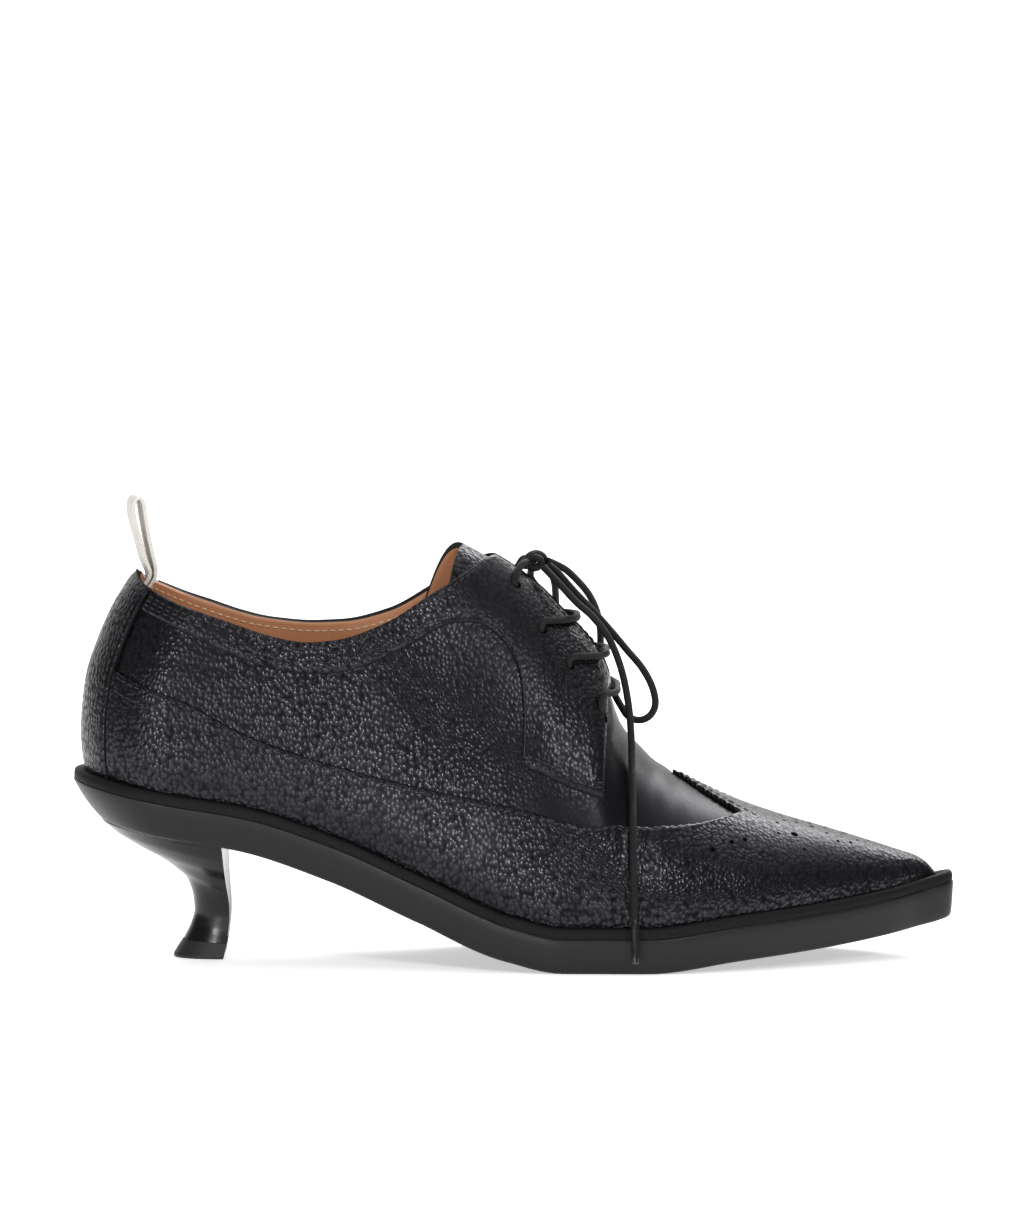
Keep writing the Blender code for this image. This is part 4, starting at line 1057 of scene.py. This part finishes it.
# Wing: the toe and side overlay, gimped along its edge and punched round its point
wing = {
    "under": 0.05, "over": 1.45, "foot": 2.0, "leastSpan": 0.01,
    "roll": 0.45, "rollWidth": 1.0, "rimBulge": 0.12,
    "startTurn": 43.6, "peakX": 48.8, "valleyX": 69.0, "valleyShare": 0.62, "blendRun": 30.0,
    "toothPitch": 2.6, "sideTooth": 0.45, "sideFade": 4.0, "peakTooth": 0.9, "peakFade": 2.0,
    "peakStretch": 2.0, "peakSlope": 0.87, "peakEase": 0.5, "punchGrow": 0.7, "punchDepth": 3.0,
    # tighter grain over the toe than along the sides
    "toeGrain": 0.55, "toeAlong": (60.0, 50.0), "toeUp": (28.0, 10.0),
    # girth place, height
    "edge": (
        (-126.0, 90.0), (-119.0, 87.4), (-98.3, 79.7), (-81.5, 71.0), (-40.8, 58.2), (-1.0, 50.0),
        (29.8, 43.3), (50.9, 43.1), (69.0, 44.8)),
    # girth place, distance from the crest line, radius: punched on both sides of the toe
    "holes": (
        (60.4, 29.7, 0.75), (66.2, 25.7, 0.75), (70.2, 23.4, 0.75), (60.1, 4.3, 0.5), (66.2, 7.3, 0.95),
        (70.6, 8.6, 0.45), (81.5, 2.2, 0.5), (86.4, 2.0, 0.6), (90.4, 1.6, 0.75), (95.3, 1.8, 0.6),
        (108.4, 1.7, 0.45), (80.3, 10.7, 0.6), (82.6, 7.0, 0.5), (86.4, 5.2, 0.6), (91.0, 5.2, 0.75),
        (95.6, 6.8, 0.6), (100.2, 3.4, 0.5), (105.0, 4.8, 0.45), (85.5, 13.7, 1.1), (80.6, 15.9, 0.5),
        (88.5, 17.7, 0.5), (98.9, 9.4, 0.6), (102.9, 7.7, 0.6)),
    # on the crest line itself
    "middleHoles": ((77.5, 0.6), (101.1, 1.1)),
}
wingEdgeAt = smoothCurve(wing["edge"], 1)


def arcRate(girth, angle, side):
    # Millimetres along the section for one radian
    low, high = max(0.01, angle - 0.02), min(math.pi / 2, angle + 0.02)
    run = lastPoint(girth, high, side, 0.0) - lastPoint(girth, low, side, 0.0)
    return max(4.0, run.length / (high - low))


def tooth(reach):
    return abs((reach / wing["toothPitch"]) % 1.0 - 0.5) * 2


def wingSplit(girth):
    if girth <= wing["valleyX"]:
        return angleAtHeight(girth, wingEdgeAt(girth))
    valley = angleAtHeight(wing["valleyX"], wingEdgeAt(wing["valleyX"]))
    return mix(valley, math.pi / 2 * wing["valleyShare"], ramp(girth, wing["valleyX"], wing["blendRun"]))


def wingPeak(girth):
    split = wingSplit(max(girth, wing["valleyX"]))
    if girth >= wing["valleyX"]:
        return split
    return mix(math.pi / 2, split, (girth - wing["peakX"]) / (wing["valleyX"] - wing["peakX"]))


def rolled(apart):
    # Skived edge: the overlay thins over its last millimetre
    return wing["roll"] * max(0.0, 1 - apart / wing["rollWidth"]) ** 2


def wingGrain(point):
    toe = ramp(point.x, *wing["toeAlong"]) * ramp(point.z, *wing["toeUp"])
    return mix(1.0, wing["toeGrain"], toe)


def overlayPair(girth, angle, side, thinner, lift=0.0, over=None):
    top = (over or wing["over"]) - thinner + lift
    return wallPair(girth, angle, side, top, wing["under"] + lift)


@cache
def wingLow(side, girth):
    # Foot and gimped edge along the sides, with the millimetres for one radian there
    foot = footAngle(girth, wing["foot"])
    split = max(wingSplit(girth), foot + wing["leastSpan"])
    rate = arcRate(girth, split, side)
    notch = wing["sideTooth"] * tooth(girth) * ramp(girth, wing["valleyX"], -wing["sideFade"])
    return foot, split - notch / rate, rate


@cache
def wingHigh(side, girth):
    # Gimped edge of the point over the toe
    low = max(wingPeak(girth), footAngle(girth, wing["foot"]) + wing["leastSpan"])
    rate = arcRate(girth, low, side)
    fromPeak, fade = girth - wing["peakX"], wing["peakFade"]
    inner = ease(fromPeak / fade) * ramp(girth, wing["valleyX"], -fade)
    notch = wing["peakTooth"] * tooth(fromPeak * wing["peakStretch"]) * inner
    return min(math.pi / 2, low + notch / rate), rate


def makeWing():
    start = girthAtTurn(wing["startTurn"])
    toe = stepsFrom(wing["valleyX"], last["closeX"], 1.3) + toeSteps(last["closeX"] + 1.0, last["tipX"], 6)
    lowColumns = [start, start + 0.15, start + 0.5]
    lowColumns += stepsFrom(start + 1.0, wing["valleyX"] - 0.5, 0.52) + toe
    highColumns = stepsFrom(wing["peakX"], wing["valleyX"] - 0.2, 0.26) + toe
    lowLevels = [k / 14 for k in range(13)] + [0.91, 0.95, 0.975, 0.99, 1.0]
    highLevels = edgeLevels + [0.16 + 0.84 * k / 12 for k in range(13)]

    def lowPlace(side, girth, level):
        foot, split, rate = wingLow(side, girth)
        apart = (1 - level) * (split - foot) * rate
        if girth > wing["valleyX"]:
            apart = math.hypot(apart, girth - wing["valleyX"])
        apart = min(apart, max(0.0, girth - start))
        return overlayPair(girth, mix(foot, split, level), side, rolled(apart))

    def highPlace(side, girth, level):
        low, rate = wingHigh(side, girth)
        apart = level * (math.pi / 2 - low) * rate
        if girth > wing["valleyX"]:
            apart = math.hypot(apart, girth - wing["valleyX"])
        else:
            apart = min(apart, wing["peakSlope"] * (girth - wing["peakX"]) + wing["peakEase"] * level)
        return overlayPair(girth, mix(low, math.pi / 2, level), side, rolled(apart))

    sheets = []
    for side in sides:
        sheets.append((lowColumns, lowLevels, partial(lowPlace, side)))
        sheets.append((highColumns, highLevels, partial(highPlace, side)))
    mesh = makeShell(sheets, wing["rimBulge"], wingGrain)
    bmesh.ops.dissolve_degenerate(mesh, dist=weld, edges=mesh.edges)
    piece = addPiece("wing_leather", mesh, overlayLooks, ["wing_overlay"])
    places = [(girth, math.pi / 2, outerSide, radius) for girth, radius in wing["middleHoles"]]
    for girth, offset, radius in wing["holes"]:
        for side in sides:
            places.append((girth, angleAtOffset(girth, side, offset), side, radius))
    punch(piece, [(*spot, wing["punchGrow"], radius, wing["punchDepth"]) for *spot, radius in places])


# Facings with the collar, and the strip down the back
facing = {
    "lift": 1.0, "liftSpan": (20.0, 10.0), "liftPower": 1.5, "rimOver": 0.95, "rimLevel": 0.9,
    # the top corner is pressed flat by the lace and the hand
    "pressed": (-2.0, 119.0), "pressedRun": 22.0, "pressedGrain": 0.25,
    # girth place and height of the lower edge, and where its column meets the top edge
    "rows": (
        (-124.0, 108.0, -124.0), (-114.0, 104.8, -114.0), (-104.0, 100.8, -104.0), (-94.0, 96.8, -94.0),
        (-84.0, 93.6, -84.0), (-74.0, 91.0, -74.0), (-64.0, 89.4, -64.0), (-54.0, 89.8, -54.0),
        (-45.0, 92.0, -45.0), (-37.0, 95.4, -37.0), (-30.0, 99.0, -30.0), (-24.0, 102.4, -24.0),
        (-18.0, 104.6, -18.0), (-12.0, 104.8, -12.0), (-7.0, 102.8, -7.0), (-2.0, 98.0, -2.0),
        (1.6, 91.0, 1.0), (3.2, 83.0, 4.0), (3.8, 73.0, 8.0), (3.5, 63.0, 12.0), (9.0, 60.0, 16.0),
        (15.0, 57.0, 20.0), (21.0, 54.6, 25.0), (27.4, 52.0, 29.8)),
}
facingEnd = len(facing["rows"]) - 1
facingCurves = rowCurves(facing["rows"])


def facingSpot(row, level, side):
    lowGirth, height, topGirth = (curve(row) for curve in facingCurves)
    angle = mix(angleAtHeight(lowGirth, height), openingAngle(topGirth, side), level)
    return mix(lowGirth, topGirth, level), angle


def facingGrain(point):
    x, z = facing["pressed"]
    return mix(facing["pressedGrain"], 1.0, ease(math.hypot(point.x - x, point.z - z) / facing["pressedRun"]))


@cache
def facingLength(side, row):
    low, high = (lastPoint(*facingSpot(row, level, side), side, 0.0) for level in (0.0, 1.0))
    return (high - low).length


def makeFacing(name, node, side):
    columns = stepsFrom(0.0, facingEnd - 0.3, 0.125) + [facingEnd - 0.15, facingEnd - 0.06, facingEnd]
    levels = edgeLevels + [0.15 + 0.75 * k / 16 for k in range(17)] + [0.94, 0.97, 0.99, 1.0]

    def at(row, level):
        girth, angle = facingSpot(row, level, side)
        apart = level * facingLength(side, row)
        if row > facingEnd - 1:
            front = lastPoint(*facingSpot(facingEnd, level, side), side, 0.0)
            apart = min(apart, (front - lastPoint(girth, angle, side, 0.0)).length)
        over = rimmed(wing["over"], facing["rimOver"], level, facing["rimLevel"])
        return overlayPair(girth, angle, side, rolled(apart), facingLift(girth, level), over)

    mesh = makeShell([(columns, levels, at)], wing["rimBulge"], facingGrain)
    punch(addPiece(name, mesh, overlayLooks, [node]), eyeletSpots(side))


panel = {"edgeTurn": 43.2, "over": 1.95, "rimLevel": 0.94}


def makePanel():
    columns = [girthAtTurn(turn) for turn in stepsFrom(0.0, panel["edgeTurn"] - 2.0, 2.0)]
    columns += [girthAtTurn(panel["edgeTurn"] - short) for short in (1.2, 0.6, 0.25, 0.0)]
    levels = [k / 32 for k in range(31)] + [0.96, 0.98, 0.992, 1.0]

    def place(side, girth, level):
        angle = mix(footAngle(girth, wing["foot"]), openingAngle(girth, side), level)
        over = rimmed(panel["over"], facing["rimOver"], level, panel["rimLevel"])
        return overlayPair(girth, angle, side, rolled(columns[-1] - girth), 0.0, over)

    mesh = makeShell(bothSheets(columns, levels, place), wing["rimBulge"])
    addPiece("back_strip", mesh, overlayLooks, ["back_panel"])


tongue = {
    "over": -2.75, "under": -4.4, "rimBulge": 0.3, "finer": 6,
    # the inner half has slid down and back a little more than the outer one
    "trailShare": {outerSide: 0.55, innerSide: 1.6},
    # place on the crest, how far the side edge trails behind, half width
    "rows": (
        (38.0, 0.0, 21.0), (32.0, 0.0, 21.0), (27.0, 0.5, 21.0), (21.0, 1.0, 21.0), (14.0, 2.0, 21.0),
        (6.0, 3.5, 21.0), (-2.0, 5.5, 21.0), (-9.0, 7.5, 20.5), (-15.0, 9.5, 19.5)),
}


def makeTongue():
    curves = rowCurves(tongue["rows"])
    columns = stepsFrom(0.0, len(tongue["rows"]) - 1.0, 1 / tongue["finer"])
    levels = [k / 16 for k in range(17)]

    def place(side, row, level):
        crestX, trail, half = (curve(row) for curve in curves)
        girth = crestX - trail * tongue["trailShare"][side] * (1 - level)
        angle = mix(angleAtOffset(girth, side, half), math.pi / 2, level)
        return wallPair(girth, angle, side, tongue["over"], tongue["under"])

    mesh = makeShell(bothSheets(columns, levels, place), tongue["rimBulge"])
    addPiece("tongue_leather", mesh, ["upper", "lining", "edge", "edge"], ["tongue"])


makeUpper()
makeWing()
makeFacing("facing_outer", "facing_lateral", outerSide)
makeFacing("facing_inner", "facing_medial", innerSide)
makePanel()
makeTongue()
print("upper, overlays and tongue: made")


# Lace across the facings, up through each eyelet
bars = {
    "shares": (-0.95, -0.72, -0.44, -0.16, 0.16, 0.44, 0.72, 0.95), "dip": 1.5, "rest": 0.05,
    "sink": 0.4, "sinkSpan": (0.8, 0.15), "inside": (-4.0, -2.0, 0.2), "topGrow": 2.0,
    # from the top eyelets to the knot
    "topOuter": ((2.4, -8.6, 121.2), (4.2, -5.6, 121.8)), "topInner": ((2.6, 6.6, 121.6), (4.2, 3.4, 122.0)),
}


def throughEyelet(row, side):
    girth, reach = eyeletPlace(row, side)
    return [onFacing(girth, side, reach, deep) for deep in bars["inside"]]


def barRoute(row):
    # Level from eyelet to eyelet over the facings, dipping a little in the slot
    clear = wing["over"] + lace["radius"] + bars["rest"]
    girth, outerReach, innerReach = upper["eyelets"][row]
    height = onFacing(girth, outerSide, outerReach, clear).z
    route = []
    for share in bars["shares"]:
        side = outerSide if share < 0 else innerSide
        offset = abs(share) * (outerReach if share < 0 else innerReach)
        grow = clear - bars["dip"] * ramp(offset, upper["halfGap"], -upper["halfGap"])
        grow -= bars["sink"] * ramp(abs(share), *bars["sinkSpan"])
        route.append(onFacing(levelGirth(side, offset, height, grow), side, offset, grow))
    return throughEyelet(row, outerSide) + route + throughEyelet(row, innerSide)[::-1]


def topRoute(side, points):
    girth, reach = eyeletPlace(0, side)
    return throughEyelet(0, side) + [onFacing(girth, side, reach, bars["topGrow"])] + shifted(points)


for row in (1, 2, 3):
    makeStrand(f"lacing_{row + 1}", f"lace_bar_{row + 1}", barRoute(row))
makeStrand("lacing_top_outer", "lace_top_lateral", topRoute(outerSide, bars["topOuter"]))
makeStrand("lacing_top_inner", "lace_top_medial", topRoute(innerSide, bars["topInner"]))
print("lacing: run through the eyelets")


# Pull loop of folded tape at the back of the collar
pull = {
    "width": 9.6, "tape": 1.0, "rimBulge": 0.15, "step": 0.7,
    "twist": 14.0, "twistSpan": (112.0, 9.0),
    # place along the shoe and height, seen from the side
    "route": (
        (-116.0, 109.6), (-113.6, 113.6), (-111.7, 117.6), (-113.4, 122.6), (-115.0, 128.6),
        (-116.6, 134.6), (-117.0, 138.4), (-116.2, 140.8), (-114.9, 141.1), (-113.9, 139.2),
        (-113.3, 135.0), (-112.2, 128.6), (-110.9, 122.6), (-110.0, 117.0), (-112.1, 112.9),
        (-114.6, 108.8)),
}


def makePull():
    path = smoothRoute([(x, sideShift, z) for x, z in pull["route"]], pull["step"])
    levels = [-1.0, -0.96, -0.88] + [k / 5 for k in range(-4, 5)] + [0.88, 0.96, 1.0]

    def at(column, level):
        run = path[min(column + 1, len(path) - 1)] - path[max(column - 1, 0)]
        # above the collar the loop has turned a little towards the outer side
        twist = math.radians(pull["twist"]) * ramp(path[column].z, *pull["twistSpan"])
        turn = Matrix.Rotation(twist, 3, "Z")
        outward = turn @ Vector((-run.z, 0.0, run.x)).normalized() * pull["tape"] / 2
        across = turn @ Vector((0.0, level * pull["width"] / 2, 0.0))
        return path[column] + across + outward, path[column] + across - outward

    size = (len(path) * pull["step"], pull["width"])
    mesh = makeShell([(range(len(path)), levels, at)], pull["rimBulge"], None, size)
    addPiece("pull_tape", mesh, ["tape"], ["pull_loop"], sharpAngle=60.0)


makePull()
print("pull loop: made")


# Stitching: short threads sunk in the leather, all of one colour joined in one mesh
stitch = {
    "pitch": 2.5, "length": 2.0, "width": 0.55, "height": 0.5, "samples": 240, "sharpAngle": 60.0,
    # how far a row stays off the ends of its seam
    "wingStart": 2.0, "wingEnd": 2.0, "pointEnd": 1.0, "pointLean": 1.15, "stripFoot": 5.0, "stripTop": 0.06,
    "liningTurn": 6.0, "liningRun": 36.0,
}


def rowPlaces(line):
    # Even places along a line drawn on the last, with the run of the row and the way out of the leather
    spots = [line(k / stitch["samples"]) for k in range(stitch["samples"] + 1)]
    points = [lastPoint(*spot) for spot in spots]
    reach = reachAlong(points)
    count = max(1, int(reach[-1] / stitch["pitch"]))
    for k in range(count):
        point, i = spotAt(points, reach, (k + 0.5) * reach[-1] / count)
        yield point, (points[i + 1] - points[i]).normalized(), surfaceNormal(*spots[i])


def sewRow(whole, line, inside):
    # A row is made by itself and then joined, which is far quicker than growing one large mesh
    mesh = bmesh.new()
    size = Matrix.Diagonal((stitch["length"] / 2, stitch["width"] / 2, stitch["height"] / 2, 1.0))
    for point, run, normal in rowPlaces(line):
        out = -normal if inside else normal
        across = out.cross(run).normalized()
        turn = Matrix((run, across, run.cross(across))).transposed().to_4x4()
        place = Matrix.Scale(mm, 4) @ Matrix.Translation(point) @ turn @ size
        bmesh.ops.create_uvsphere(mesh, u_segments=8, v_segments=5, radius=1.0, matrix=place)
    data = toData("row", mesh)
    whole.from_mesh(data)
    bpy.data.meshes.remove(data)


def wingSide(side, apart, t):
    girth = mix(girthAtTurn(wing["startTurn"]) + stitch["wingStart"], wing["valleyX"] - stitch["wingEnd"], t)
    split = wingSplit(girth)
    return girth, split - apart / arcRate(girth, split, side), side, wing["over"]


def wingPoint(side, apart, t):
    girth = mix(wing["peakX"], wing["valleyX"] - stitch["pointEnd"], t)
    return girth + apart * stitch["pointLean"], wingPeak(girth), side, wing["over"]


def facingLow(side, apart, t):
    girth, angle = facingSpot(t * facingEnd, 0.0, side)
    return girth, angle + apart / arcRate(girth, angle, side), side, wing["over"]


def facingTop(side, apart, t):
    girth, angle = facingSpot(t * (facingEnd - 0.5), 1.0, side)
    grow = wing["over"] - 0.1 + facingLift(girth, 0.9)
    return girth, angle - apart / arcRate(girth, angle, side), side, grow


def stripEdge(side, apart, t):
    girth = girthAtTurn(panel["edgeTurn"]) - apart
    top = openingAngle(girth, side) - stitch["stripTop"]
    return girth, mix(footAngle(girth, stitch["stripFoot"]), top, t), side, panel["over"] - 0.05


def liningTop(side, apart, t):
    girth = mix(girthAtTurn(stitch["liningTurn"]), last["leanEnd"] + stitch["liningRun"], t)
    angle = openingAngle(girth, side)
    wall = upper["wall"] + (upper["gripStep"] if girth < upper["gripEdge"] else 0.0)
    return girth, angle - apart / arcRate(girth, angle, side), side, -wall + 0.1


def makeStitches():
    dark, pale = bmesh.new(), bmesh.new()
    # thread, seam, distance from its edge
    rows = (
        (dark, wingSide, 1.5), (dark, wingPoint, 1.5), (dark, wingSide, 5.6), (dark, wingPoint, 5.6),
        (dark, facingLow, 1.6), (dark, facingLow, 3.0), (dark, facingTop, 2.2), (dark, stripEdge, 1.6),
        (pale, liningTop, 1.7))
    for side in sides:
        for whole, line, apart in rows:
            sewRow(whole, partial(line, side, apart), whole is pale)
    addPiece("stitches_dark", dark, ["thread"], [], stitch["sharpAngle"])
    addPiece("stitches_pale", pale, ["paleThread"], [], stitch["sharpAngle"])


makeStitches()
print("stitching: sewn")


# Stage: pale floor, one wide soft light from above, three panels in front and one behind
studio = {
    "floorSize": 60000.0, "floor": ("#f4f4f4", "#fafafa"),
    "sun": {"power": 0.9, "spread": 70.0, "tilt": (12.0, 8.0)},
    # name, place, size, power, aimed at the shoe
    "panels": (
        ("frontLeft", (-640.0, -1650.0, 60.0), (300.0, 300.0), 8.0),
        ("frontRight", (600.0, -1500.0, 900.0), (380.0, 380.0), 8.0),
        ("frontTop", (-150.0, -1150.0, 1150.0), (500.0, 300.0), 2.5),
        ("backTop", (500.0, 1100.0, 1100.0), (1400.0, 500.0), 15.0)),
    "aim": (0.0, 0.0, 70.0),
    "horizon": 0.10, "zenith": 0.45, "backdrop": 1.05, "tableGlow": 0.5,
    # height and depth of the view, as parts of one, over which sky and backdrop come up
    "skySpan": (0.0, 0.9), "wallSpan": (0.3, 0.9),
}


def makeStage():
    mesh = bmesh.new()
    bmesh.ops.create_grid(mesh, x_segments=1, y_segments=1, size=studio["floorSize"] * mm)
    paper = smoothSurface("matte_paper_backdrop", *studio["floor"], 900.0, 1.5, (0.85, 0.95), 0.0, 1.0)
    # the table is lit acrylic: it glows a little, which keeps the shadow faint
    glow = {"Emission Color": toLinear("#ffffff"), "Emission Strength": studio["tableGlow"]}
    feed(paper.node_tree, paper.node_tree.nodes["Principled BSDF"], glow)
    data = toData("floor", mesh)
    data.materials.append(paper)
    floor = addObject("floor", data)


def makeLights():
    sun = studio["sun"]
    data = bpy.data.lights.new("overhead", "SUN")
    data.energy = sun["power"]
    data.angle = math.radians(sun["spread"])
    lamp = addObject("overhead", data)
    lamp.rotation_euler = (math.radians(-sun["tilt"][0]), math.radians(sun["tilt"][1]), 0.0)
    for name, place, size, power in studio["panels"]:
        data = bpy.data.lights.new(name, "AREA")
        data.shape = "RECTANGLE"
        data.size, data.size_y = size[0] * mm, size[1] * mm
        data.energy = power
        lamp = addObject(name, data)
        lamp.location = Vector(place) * mm
        lamp.rotation_euler = (Vector(studio["aim"]) - Vector(place)).to_track_quat("-Z", "Y").to_euler()


def makeWorld():
    # Bright overhead, dim at the camera's side, and a white backdrop behind the shoe
    world = bpy.data.worlds.new("studio")
    world.use_nodes = True
    tree = world.node_tree
    look = addNode(tree, "ShaderNodeTexCoord").outputs["Generated"]
    way = addNode(tree, "ShaderNodeSeparateXYZ", {0: look}).outputs
    sky = remap(tree, way["Z"], studio["skySpan"], (studio["horizon"], studio["zenith"]), "SMOOTHSTEP")
    wall = remap(tree, way["Y"], studio["wallSpan"], (0.0, studio["backdrop"]))
    light = {"Strength": reckon(tree, "ADD", sky, wall), "Color": toLinear("#ffffff")}
    feed(tree, tree.nodes["Background"], light)
    bpy.context.scene.world = world


makeStage()
makeLights()
makeWorld()
bpy.context.scene.view_settings.view_transform = "Standard"
print("stage: lit")
